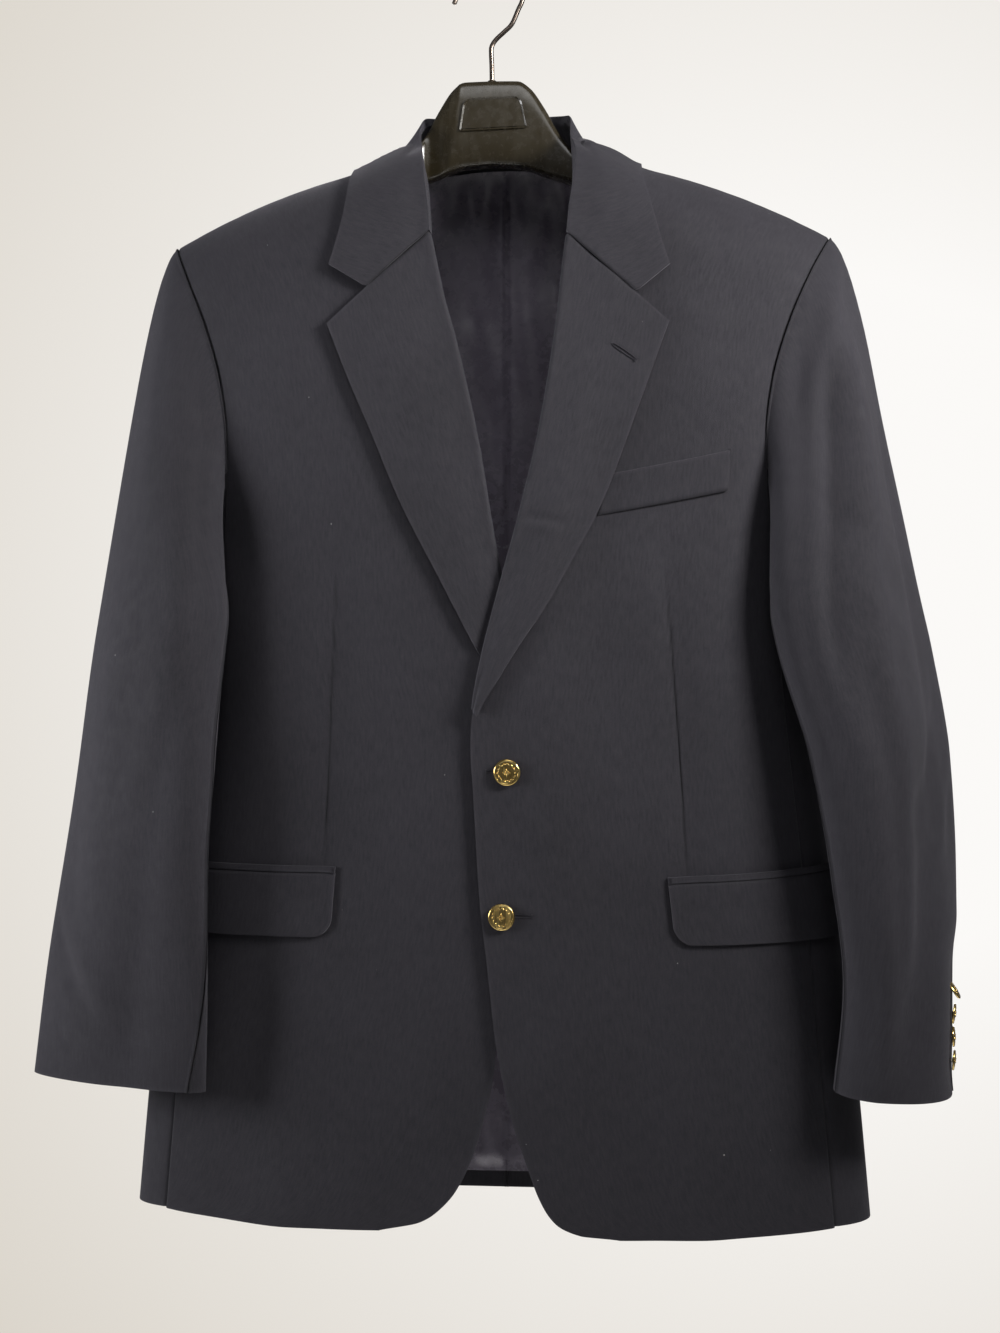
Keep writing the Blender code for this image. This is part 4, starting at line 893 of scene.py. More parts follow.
def lapel_surface(side: str, u: Array, v: Array) -> Array:
    """One lapel: u runs round its soft roll and then across to its outer edge."""
    roll, outer = LAPEL_SPAN[side]["roll"], LAPEL_SPAN[side]["outer"]
    z_roll, z_outer = mix(*roll, v), mix(*outer, v)
    x_roll, x_outer = FRONT_INNER[side].read("x", z_roll), LAPEL_OUTER[side].read("x", z_outer)
    width = np.hypot(x_outer - x_roll, z_outer - z_roll)
    radius = np.minimum(LAPEL_ROLL, 0.35 * width)
    bend = np.radians(mix(-20.0, 90.0, np.clip(u / LAPEL_BEND, 0, 1)))
    flat = np.clip((u - LAPEL_BEND) / (1 - LAPEL_BEND), 0, 1)
    share = np.where(u < LAPEL_BEND, radius * (1 - np.cos(bend)) / width, mix(radius / width, 1.0, flat))
    x, z = mix(x_roll, x_outer, share), mix(z_roll, z_outer, share)
    low = SHELL_WALL / 2 + LAPEL_WALL / 2 + SEAM_GAP
    rise = low + 0.0006 + 0.0034 * ease(flat / 0.5) - 0.0008 * flat
    if side == "right":
        bare = -x - FRONT_INNER["left"].read("x", z)
        rise = np.minimum(rise, low + 0.0003 + 0.30 * np.maximum(0.0, -bare - 0.002))
    lift = rise * np.sin(bend) + crease_height(LAPEL_CREASES[side], x, z) * ease(flat / 0.15)
    return front_off(side, x, z, lift)


def patch_surface(
    side: str, corners: tuple[tuple[float, float], ...], lift: float, corner: float, u: Array, v: Array
) -> Array:
    """A flat piece sewn on a front.

    Args:
        side: which front.
        corners: its corners round from its inner top, as (x, z).
        lift: how far its middle stands off the front.
        corner: the rounding of its inner foot, or 0.
        u: share across the piece.
        v: share down the piece.

    Returns:
        One point for each pair of shares.
    """
    top_in, top_out, foot_out, foot_in = (np.array(c) for c in corners)
    inner = mix(top_in, foot_in, v[..., None])
    outer = mix(top_out, foot_out, v[..., None])
    from_foot = (1 - v) * np.linalg.norm(top_in - foot_in)
    over = np.clip(corner - from_foot, 0.0, corner)
    bite = corner - np.sqrt(corner**2 - over**2)
    inner = inner + unit(outer - inner) * bite[..., None]
    z = mix(inner[..., 1], outer[..., 1], u)
    turn = mix(turn_of(inner[..., 0], inner[..., 1]), turn_of(outer[..., 0], outer[..., 1]), u)
    x = TORSO.read("half_width", z) * np.sin(turn)
    return front_off(side, x, z, lift + PATCH_SPREAD * u)


def flap_corners(side: str, top: float, foot: float, rise: float) -> tuple[tuple[float, float], ...]:
    """The four corners of a strip across the pocket, between two heights at its inner end."""
    flap = FLAP[side]
    slant = flap["slant"] / (flap["top"] - flap["foot"])
    outer = math.sin(math.radians(FLAP_OUTER_TURN))
    x_top = flap["inner"] + slant * (flap["top"] - top)
    x_foot = flap["inner"] + slant * (flap["top"] - foot)
    z_top, z_foot = top + flap["rise"], foot + flap["rise"] * rise
    half_top, half_foot = (float(TORSO.read("half_width", z)) for z in (z_top, z_foot))
    return ((x_top, top), (half_top * outer, z_top), (half_foot * outer, z_foot), (x_foot, foot))


def by_side(pair: dict[str, float], sign: Array) -> Array:
    """Each side's own value, picked by the sign of x."""
    return np.where(sign > 0, pair["left"], pair["right"])


def collar_row(t: Array, sign: Array) -> list[Array]:
    """Crease, outer edge and stand seam at t, from 0 at the back to 1 at the collar's end."""
    shift = COLLAR_SHIFT.read("x", t)
    points = []
    for part in ("crease", "edge", "stand"):
        x, y, z = (COLLAR.read(f"{part}_{axis}", t) for axis in "xyz")
        if part == "edge":
            own_x = np.where(sign > 0, COLLAR_POINT["left"][0], COLLAR_POINT["right"][0])
            own_z = np.where(sign > 0, COLLAR_POINT["left"][1], COLLAR_POINT["right"][1])
            x = x - by_side(COLLAR_DRAWN_IN, sign) * ease((t - 0.30) / 0.18)
            z = mix(z, own_z, ease((t - 0.88) / 0.12))
            start = COLLAR.read("edge_z", np.array(0.60))
            share = np.clip((start - z) / (start - own_z), 0.0, 1.0)
            held = np.minimum(x, 0.1105 - by_side(COLLAR_DRAWN_IN, sign))
            x = mix(held, own_x - sign * shift, share ** by_side(COLLAR_BEND, sign))
        points.append(stack(sign * x + shift, y, z))
    return points


def collar_front_end(side: str, share: Array) -> Array:
    """The collar's front end: along the gorge seam to the notch, then up to the point."""
    sign = SIDES[side]
    z_roll, z_peak = LAPEL_SPAN[side]["roll"][0], LAPEL_SPAN[side]["outer"][0]
    roll = np.array([float(FRONT_INNER[side].read("x", z_roll)), z_roll])
    peak = np.array([float(LAPEL_OUTER[side].read("x", z_peak)), z_peak])
    gorge = unit(peak - roll)
    up = np.array([-gorge[1], gorge[0]]) * SEAM_GAP
    notch = mix(roll, peak, NOTCH_SHARE[side]) + up
    roll, point = roll + up, np.array(COLLAR_POINT[side])
    first = mix(roll, notch, (np.minimum(share, COLLAR_SPLIT) / COLLAR_SPLIT)[..., None])
    last = mix(notch, point, (np.maximum(share - COLLAR_SPLIT, 0) / (1 - COLLAR_SPLIT))[..., None])
    flat = np.where((share < COLLAR_SPLIT)[..., None], first, last)
    return stack(sign * flat[..., 0], np.zeros(share.shape), flat[..., 1])


def clear_of_body(points: Array, gap: Array) -> Array:
    """The points moved off the body along its normal until they are this far from it."""
    for _ in range(3):
        x, y, z = points[..., 0], points[..., 1], points[..., 2]
        low = np.minimum(z, SHOULDER.read("z", np.abs(x)) - 0.0015)
        turn = np.where(y <= 0, turn_of(x, low), math.pi - turn_of(x, low))
        normal = torso_normal(turn, low)
        lap = np.where((x > 0) & (y <= 0), overlap_lift(x), 0.0)
        short = np.maximum(gap + lap - dot(points - torso(turn, low), normal), 0.0)
        points = points + normal * short[..., None]
    return points


def collar_surface(u: Array, v: Array) -> Array:
    """The collar: u from the right front end round the back to the left, v from stand to edge."""
    sign = np.where(u >= 0.5, 1.0, -1.0)
    t = np.abs(2 * u - 1)
    crease, edge, stand = collar_row(t, sign)
    sideways = unit((edge - stand) * np.array([1.0, 1.0, 0.0]))

    def fall(share: Array) -> Array:
        """The outer half, from the crease at 0 to the edge at 1."""
        swell = COLLAR.read("bulge", t) * np.sin(math.pi * share)
        point = mix(crease, edge, share[..., None]) + sideways * swell[..., None]
        sag = by_side(COLLAR_SAG, sign) * np.sin(math.pi * share) * lump(t - 0.52, 0.15)
        point = point + stack(0.0 * share, 0.0 * share, 0.0012 * (1 - share) + swell / 3 - sag)
        front = ease((t - 0.80) / 0.2)[..., None]
        left, right = collar_front_end("left", share), collar_front_end("right", share)
        end = np.where((sign > 0)[..., None], left, right)
        end[..., 1] = point[..., 1]
        point = mix(point, end, front)
        gap = COLLAR_CLEAR + COLLAR_LIFT * ease(share * 3) * ease((t - 0.5) / 0.3)
        gap = gap + COLLAR_ROLL * ease((t - 0.75) / 0.2)
        held = np.maximum(ease((share - 0.06) / 0.16), ease((t - 0.62) / 0.14))[..., None]
        return mix(point, clear_of_body(point, gap), held)

    inset = mix(0.0046, 0.0010, ease((t - 0.46) / 0.12))[..., None]
    inner = crease - sideways * inset + (stand - crease) * 0.14
    rise = mix(stand, inner, np.clip(v / STAND_SHARE, 0, 1)[..., None])
    round_share = np.clip((v - STAND_SHARE) / (FOLD_SHARE - STAND_SHARE), 0, 1)
    over = mix(inner, fall(np.zeros(v.shape)), np.sin(round_share * math.pi / 2)[..., None])
    outside = fall(np.clip((v - FOLD_SHARE) / (1 - FOLD_SHARE), 0, 1))
    low = np.where((v < STAND_SHARE)[..., None], rise, over)
    return np.where((v < FOLD_SHARE)[..., None], low, outside)


def lining_surface(side: str, u: Array, v: Array) -> Array:
    """Half of the back lining, inside the back from the collar's stand to above the hem."""
    sign = SIDES[side]
    z = mix(mix(LINING_TOP, LINING_TOP_OUTER, u * u), LINING_HEM, v)
    turn = mix(math.pi - seam_turn(np.full(u.shape, math.pi), z), math.radians(LINING_TURN), u)
    inset = mix(LINING_EDGE_INSET, LINING_INSET, ease(np.minimum(v, 1 - v) / 0.12))
    x = TORSO.read("half_width", z) * np.sin(turn) * sign
    rough = slow(x * 2.2, z * 1.1, 5.0) + 0.8 * slow(x * 5.1, z * 2.3, 9.0)
    rough = rough + 0.24 * slow(x * 9.0 + z * 1.5, z * 4.6, 4.0)
    rough = rough + 0.07 * slow(x * 14.0 - z * 5.0, z * 9.0, 3.0)
    deep = (0.0024 + 0.0023 * rough) * ease(u / 0.016) * ease(np.minimum(v, 1 - v) / 0.02)
    return torso_off(sign * turn, z, -inset - np.maximum(deep, 0.0))


def hanger_surface(u: Array, v: Array) -> Array:
    """The hanger's body as boxy rings along its arms, with the flats and ribs of its neck."""
    reach = 0.222 * np.sign(u - 0.5) * np.abs(2 * u - 1) ** 1.5
    read = HANGER.read
    top, bottom, depth = (read(c, np.abs(reach)) for c in ("top", "bottom", "depth"))
    angle = 2 * math.pi * v
    across, up = np.cos(angle), np.sin(angle)
    y = depth * np.copysign(np.abs(across) ** 0.42, across)
    z = (top + bottom) / 2 + (top - bottom) / 2 * np.copysign(np.abs(up) ** 0.42, up)
    flat = ease((0.058 - np.abs(reach)) / 0.012)
    left_edge, right_edge = HANGER_RIB_LEFT.read("x", z), HANGER_RIB_RIGHT.read("x", z)
    x = reach + HANGER_MIDDLE
    slope = np.maximum(left_edge - x, 0.0) + np.maximum(x - right_edge, 0.0)
    ribs = lump(x - left_edge, 0.0007) + lump(x - left_edge + 0.0052, 0.0007) + lump(x - right_edge, 0.0008)
    y = y - np.where(y > 0, flat * np.minimum(slope * 0.30, depth * 0.5), 0.0)
    y = y + np.where(y > 0.2 * depth, 0.0006 * ribs * flat, 0.0)
    return stack(x, -y, z)


def grid_normals(points: Array) -> Array:
    """The normals of a grid of points, down by across."""
    return unit(np.cross(np.gradient(points, axis=0), np.gradient(points, axis=1)))


class Edge(Enum):
    """The four edges of a grid: where u or v is 0 or 1."""

    START = "start"
    END = "end"
    TOP = "top"
    FOOT = "foot"


class Slot(Enum):
    """The record's material slots."""

    WOOL = "wool"
    COLLAR = "wool_collar"
    LINING = "lining"
    GILT = "gilt"
    PLASTIC = "hanger_plastic"
    STEEL = "hook_steel"


class Graph:
    """A node tree with short ways to add nodes and join them."""

    def __init__(self, tree: bpy.types.NodeTree) -> None:
        """Keeps the tree that the nodes go into."""
        self.tree = tree

    def add(self, kind: str, inputs: dict | None = None, **settings: object) -> bpy.types.Node:
        """Adds a node.

        Args:
            kind: the node's type, without the word ShaderNode.
            inputs: socket name or number to a value or another node's output.
            **settings: the node's own options.

        Returns:
            The new node.
        """
        node = self.tree.nodes.new("ShaderNode" + kind)
        for name, value in settings.items():
            setattr(node, name, value)
        for key, value in (inputs or {}).items():
            socket = node.inputs[key]
            if isinstance(value, bpy.types.NodeSocket):
                self.tree.links.new(value, socket)
            else:
                socket.default_value = value
        return node

    def math(self, operation: str, *values: object) -> bpy.types.NodeSocket:
        """A Math node's output for up to three values."""
        return self.add("Math", dict(enumerate(values)), operation=operation).outputs[0]

    def blend(self, share: object, a: object, b: object, kind: str = "MIX") -> bpy.types.NodeSocket:
        """A colour mix's output."""
        node = self.add("Mix", {0: share, 6: a, 7: b}, data_type="RGBA", blend_type=kind)
        return node.outputs[2]

    def remap(
        self, value: object, low: float, high: float, to_low: float, to_high: float
    ) -> bpy.types.NodeSocket:
        """A Map Range node's output."""
        return self.add("MapRange", {0: value, 1: low, 2: high, 3: to_low, 4: to_high}).outputs[0]


def new_group(name: str, inputs: dict[str, float | None], outputs: tuple[str, ...]) -> tuple:
    """A new shader node group with its sockets.

    Args:
        name: the group's name.
        inputs: each input and its first value, or None for a vector.
        outputs: the outputs, all plain numbers.

    Returns:
        The group, its Graph, its input node and its output node.
    """
    tree = bpy.data.node_groups.new(name, "ShaderNodeTree")
    for socket, value in inputs.items():
        kind = "NodeSocketVector" if value is None else "NodeSocketFloat"
        made = tree.interface.new_socket(socket, in_out="INPUT", socket_type=kind)
        if value is not None:
            made.default_value = value
    for socket in outputs:
        tree.interface.new_socket(socket, in_out="OUTPUT", socket_type="NodeSocketFloat")
    return tree, Graph(tree), tree.nodes.new("NodeGroupInput"), tree.nodes.new("NodeGroupOutput")


def weave_group() -> bpy.types.NodeTree:
    """Twill: slanting ribs crossed by yarns, with the yarns' own unevenness."""
    tree, g, start, end = new_group(
        "twill_weave", {"Vector": None, "Pitch": 1700.0, "Slub": 0.5}, ("Shade", "Height")
    )
    parts = g.add("SeparateXYZ", {0: start.outputs["Vector"]})
    pitch = g.math("MULTIPLY", start.outputs["Pitch"], 2 * math.pi)
    slant = g.math("MULTIPLY", g.math("ADD", parts.outputs[0], parts.outputs[1]), pitch)
    rib = g.math("MULTIPLY_ADD", g.math("SINE", slant), 0.5, 0.5)
    yarn = g.math("SINE", g.math("MULTIPLY", g.math("MULTIPLY", parts.outputs[0], pitch), 1.7))
    yarn = g.math("MULTIPLY_ADD", yarn, 0.5, 0.5)
    long = g.add("VectorMath", {0: start.outputs["Vector"], 1: (1.0, 0.16, 1.0)}, operation="MULTIPLY")
    slub = g.add("TexNoise", {"Vector": long.outputs[0], "Scale": 620.0, "Detail": 3.0, "Roughness": 0.6})
    fibre = g.add("TexNoise", {"Vector": start.outputs["Vector"], "Scale": 1500.0, "Detail": 2.0})
    loose = g.math("SUBTRACT", g.math("ADD", slub.outputs[0], fibre.outputs[0]), 1.0)
    ribs = g.math("MULTIPLY_ADD", g.math("SUBTRACT", rib, 0.5), 0.35, 0.5)
    shade = g.math("MULTIPLY_ADD", loose, start.outputs["Slub"], ribs)
    g.tree.links.new(g.math("MINIMUM", g.math("MAXIMUM", shade, 0.0), 1.0), end.inputs["Shade"])
    height = g.math("ADD", g.math("MULTIPLY", rib, 0.55), g.math("MULTIPLY", yarn, 0.25))
    g.tree.links.new(g.math("MULTIPLY_ADD", loose, 0.5, height), end.inputs["Height"])
    return tree


def age_group() -> bpy.types.NodeTree:
    """Slow unevenness of a surface, small clouds in it and rare light specks of lint."""
    tree, g, start, end = new_group(
        "age", {"Vector": None, "Scale": 12.0, "Specks": 150.0}, ("Mottle", "Cloud", "Lint")
    )
    vector = start.outputs["Vector"]
    mottle = g.add("TexNoise", {"Vector": vector, "Scale": start.outputs["Scale"], "Detail": 3.0})
    fine = g.math("MULTIPLY", start.outputs["Scale"], 9.0)
    cloud = g.add("TexNoise", {"Vector": vector, "Scale": fine, "Detail": 5.0, "Roughness": 0.65})
    cells = g.add("TexVoronoi", {"Vector": vector, "Scale": start.outputs["Specks"]})
    pick = g.add("SeparateColor", {0: cells.outputs["Color"]})
    size = g.remap(pick.outputs[1], 0.0, 1.0, 0.03, 0.075)
    near = g.math("LESS_THAN", cells.outputs["Distance"], size)
    rare = g.math("GREATER_THAN", pick.outputs[0], 0.972)
    g.tree.links.new(mottle.outputs[0], end.inputs["Mottle"])
    g.tree.links.new(cloud.outputs[0], end.inputs["Cloud"])
    g.tree.links.new(g.math("MULTIPLY", near, rare), end.inputs["Lint"])
    return tree


def scuff_group() -> bpy.types.NodeTree:
    """Fine scratches and pits of a hard surface, and where tarnish or dust gathers."""
    tree, g, start, end = new_group("scuffs", {"Vector": None, "Scale": 200.0}, ("Scratch", "Pit", "Cloud"))
    long = g.add("VectorMath", {0: start.outputs["Vector"], 1: (1.0, 1.0, 0.08)}, operation="MULTIPLY")
    scratch = g.add("TexNoise", {"Vector": long.outputs[0], "Scale": start.outputs["Scale"], "Detail": 4.0})
    fine = g.math("MULTIPLY", start.outputs["Scale"], 6.0)
    pit = g.add("TexNoise", {"Vector": start.outputs["Vector"], "Scale": fine, "Detail": 3.0})
    broad = g.math("MULTIPLY", start.outputs["Scale"], 0.3)
    cloud = g.add("TexNoise", {"Vector": start.outputs["Vector"], "Scale": broad, "Detail": 4.0})
    g.tree.links.new(g.remap(scratch.outputs[0], 0.52, 0.62, 0.0, 1.0), end.inputs["Scratch"])
    g.tree.links.new(pit.outputs[0], end.inputs["Pit"])
    g.tree.links.new(cloud.outputs[0], end.inputs["Cloud"])
    return tree


def shared(name: str) -> bpy.types.NodeTree:
    """The shared node group of this name, built at its first use."""
    makers = {"twill_weave": weave_group, "age": age_group, "scuffs": scuff_group}
    return bpy.data.node_groups.get(name) or makers[name]()


def grey(value: float) -> tuple[float, float, float, float]:
    """A neutral colour."""
    return (value, value, value, 1.0)


def start_material(name: str) -> tuple[bpy.types.Material, Graph, bpy.types.Node]:
    """A new material with its Graph and its Principled shader."""
    material = bpy.data.materials.new(name)
    material.use_nodes = True
    return material, Graph(material.node_tree), material.node_tree.nodes["Principled BSDF"]


def join(g: Graph, shader: bpy.types.Node, **sockets: bpy.types.NodeSocket) -> None:
    """Joins outputs to the shader's inputs, named with underscores for spaces."""
    for name, socket in sockets.items():
        g.tree.links.new(socket, shader.inputs[name.replace("_", " ")])


def set_values(shader: bpy.types.Node, values: dict[str, object]) -> None:
    """Sets the shader's own sockets."""
    for name, value in values.items():
        shader.inputs[name].default_value = value


@dataclass(frozen=True)
class ClothFinish:
    """Woven cloth: two yarn colours, its weave, its sheen and its age."""

    name: str
    dark: tuple[float, float, float]
    light: tuple[float, float, float]
    pitch: float = 1700.0
    slub: float = 0.9
    rough: tuple[float, float] = (0.74, 0.88)
    sheen: float = 0.22
    sheen_tint: tuple[float, float, float] = (0.62, 0.60, 0.66)
    sheen_rough: float = 0.42
    specular: float = 0.28
    bump: float = 0.30
    lint: float = 0.55
    anisotropic: float = 0.0
    clouds: float = 0.10

    def make(self) -> bpy.types.Material:
        """Builds the material; the cloth's own coordinates drive it, and its seam mask paints shade into
        seams and sunk creases.
        """
        material, g, shader = start_material(self.name)
        cloth = g.add("UVMap", uv_map="cloth").outputs[0]
        weave = g.add("Group", node_tree=shared("twill_weave"))
        g.tree.links.new(cloth, weave.inputs["Vector"])
        set_values(weave, {"Pitch": self.pitch, "Slub": self.slub})
        place = g.add("TexCoord").outputs["Object"]
        age = g.add("Group", node_tree=shared("age"))
        g.tree.links.new(place, age.inputs["Vector"])
        set_values(age, {"Scale": 11.0, "Specks": 120.0})
        colour = g.blend(weave.outputs["Shade"], (*self.dark, 1.0), (*self.light, 1.0))
        low, high = 1 - self.clouds, 1 + self.clouds
        channels = {k: g.remap(age.outputs["Mottle"], 0.3, 0.7, low, high) for k in range(3)}
        tone = g.add("CombineColor", channels)
        colour = g.blend(1.0, colour, tone.outputs[0], "MULTIPLY")
        # Painted shade: where the seam mask is high, the colour darkens towards a third of the dark yarn,
        # standing for the shade in sunk seams and creases.
        seam = g.add("Attribute", attribute_name="seam").outputs["Fac"]
        colour = g.blend(g.math("MULTIPLY", seam, 0.55), colour, (*(c * 0.35 for c in self.dark), 1.0))
        edge = g.add("Attribute", attribute_name="edge").outputs["Fac"]
        worn = g.math("MULTIPLY", edge, g.remap(age.outputs["Cloud"], 0.35, 0.65, 0.05, 0.32))
        colour = g.blend(worn, colour, (*(c * 1.7 for c in self.light), 1.0))
        colour = g.blend(g.math("MULTIPLY", age.outputs["Lint"], self.lint), colour, grey(0.42))
        rough = g.remap(age.outputs["Cloud"], 0.3, 0.7, *self.rough)
        height = {"Height": weave.outputs["Height"], "Strength": self.bump, "Distance": 0.00025}
        join(g, shader, Base_Color=colour, Roughness=rough, Normal=g.add("Bump", height).outputs[0])
        values = {"Sheen Weight": self.sheen, "Sheen Roughness": self.sheen_rough}
        values |= {"Sheen Tint": (*self.sheen_tint, 1.0), "Specular IOR Level": self.specular}
        set_values(shader, values | {"Anisotropic": self.anisotropic})
        return material


@dataclass(frozen=True)
class MetalFinish:
    """Polished metal with tarnish in its clouds and fine scratches."""

    name: str
    bright: tuple[float, float, float]
    dull: tuple[float, float, float]
    rough: tuple[float, float] = (0.16, 0.34)
    scale: float = 260.0
    bump: float = 0.12

    def make(self) -> bpy.types.Material:
        """Builds the material from the shared scuffs."""
        material, g, shader = start_material(self.name)
        scuffs = g.add("Group", node_tree=shared("scuffs"))
        g.tree.links.new(g.add("TexCoord").outputs["Object"], scuffs.inputs["Vector"])
        set_values(scuffs, {"Scale": self.scale})
        tarnish = g.remap(scuffs.outputs["Cloud"], 0.42, 0.72, 0.0, 0.75)
        colour = g.blend(tarnish, (*self.bright, 1.0), (*self.dull, 1.0))
        rough = g.remap(g.math("MAXIMUM", tarnish, scuffs.outputs["Scratch"]), 0.0, 1.0, *self.rough)
        height = {"Height": scuffs.outputs["Pit"], "Strength": self.bump, "Distance": 0.0001}
        join(g, shader, Base_Color=colour, Roughness=rough, Normal=g.add("Bump", height).outputs[0])
        set_values(shader, {"Metallic": 1.0})
        return material


@dataclass(frozen=True)
class MouldedFinish:
    """Moulded plastic with a thin gloss, hand scuffs and a little dust."""

    name: str
    colour: tuple[float, float, float]
    dust: tuple[float, float, float]
    rough: tuple[float, float] = (0.17, 0.34)

    def make(self) -> bpy.types.Material:
        """Builds the material from the shared scuffs and age."""
        material, g, shader = start_material(self.name)
        place = g.add("TexCoord").outputs["Object"]
        scuffs, age = (g.add("Group", node_tree=shared(n)) for n in ("scuffs", "age"))
        g.tree.links.new(place, scuffs.inputs["Vector"])
        g.tree.links.new(place, age.inputs["Vector"])
        set_values(scuffs, {"Scale": 150.0})
        set_values(age, {"Scale": 22.0, "Specks": 240.0})
        dull = g.remap(age.outputs["Cloud"], 0.50, 0.80, 0.0, 0.07)
        marks = g.math("MAXIMUM", g.math("MULTIPLY", scuffs.outputs["Scratch"], 0.10), dull)
        marks = g.math("MAXIMUM", marks, g.math("MULTIPLY", age.outputs["Lint"], 0.22))
        colour = g.blend(marks, (*self.colour, 1.0), (*self.dust, 1.0))
        rough = g.remap(age.outputs["Cloud"], 0.35, 0.7, *self.rough)
        height = {"Height": scuffs.outputs["Pit"], "Strength": 0.06, "Distance": 0.0002}
        join(g, shader, Base_Color=colour, Roughness=rough, Normal=g.add("Bump", height).outputs[0])
        set_values(shader, {"Specular IOR Level": 0.55, "Coat Weight": 0.25, "Coat Roughness": 0.12})
        return material


def place_mesh(name: str, data: bpy.types.Mesh, material: bpy.types.Material) -> bpy.types.Object:
    """Puts a mesh, made about the garment's own centre plane, beside the hook as an object."""
    data.transform(Matrix.Translation((HOOK_ASIDE, 0.0, 0.0)))
    obj = bpy.data.objects.new(name, data)
    data.materials.append(material)
    bpy.context.scene.collection.objects.link(obj)
    return obj


def mesh_of(bm: bmesh.types.BMesh, name: str, smooth: bool = True) -> bpy.types.Mesh:
    """The finished bmesh as a mesh."""
    data = bpy.data.meshes.new(name)
    bm.to_mesh(data)
    bm.free()
    if smooth:
        data.shade_smooth()
    return data


def enter(obj: bpy.types.Object, slot: Slot, *nodes: str) -> bpy.types.Object:
    """Rides the piece on the body, hides the nodes that it stands for and names them in the log."""
    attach(obj, "root")
    if nodes:
        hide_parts(*nodes)
    LOG.info("%s stands for %s", obj.name, ", ".join(nodes) or "no node")
    return obj


def spread(count: int, dense: tuple[tuple[float, float, float], ...]) -> Array:
    """Shares from 0 to 1 that stand closer at named places.

    Args:
        count: how many steps.
        dense: (place, width, gain) for each crowded place.

    Returns:
        count + 1 shares.
    """
    line = np.linspace(0.0, 1.0, 2001)
    crowd = np.ones_like(line) + sum(gain * lump(line - place, width) for place, width, gain in dense)
    total = np.concatenate([[0.0], np.cumsum((crowd[1:] + crowd[:-1]) / 2)])
    return np.interp(np.linspace(0.0, total[-1], count + 1), total, line)


# A piece sewn along its sides and its top, and rows that crowd at its top and foot.
SEWN_ABOVE = {Edge.START: 1.0, Edge.END: 1.0, Edge.TOP: 1.0}
ROW_CROWD = ((0.0, 0.02, 1.5), (1.0, 0.02, 1.5))
LAPEL_CROWD = ((0.0, 0.06, 3.0), (1.0, 0.04, 2.0))
COLLAR_CROWD = ((0.0, 0.03, 1.0), (0.33, 0.09, 2.0), (1.0, 0.03, 2.0))
# How far down a sleeve its rear seam stays sewn, and the points round a buttonhole.
FREE_CUFF_FROM = 0.78
HOLE_POINTS = 92


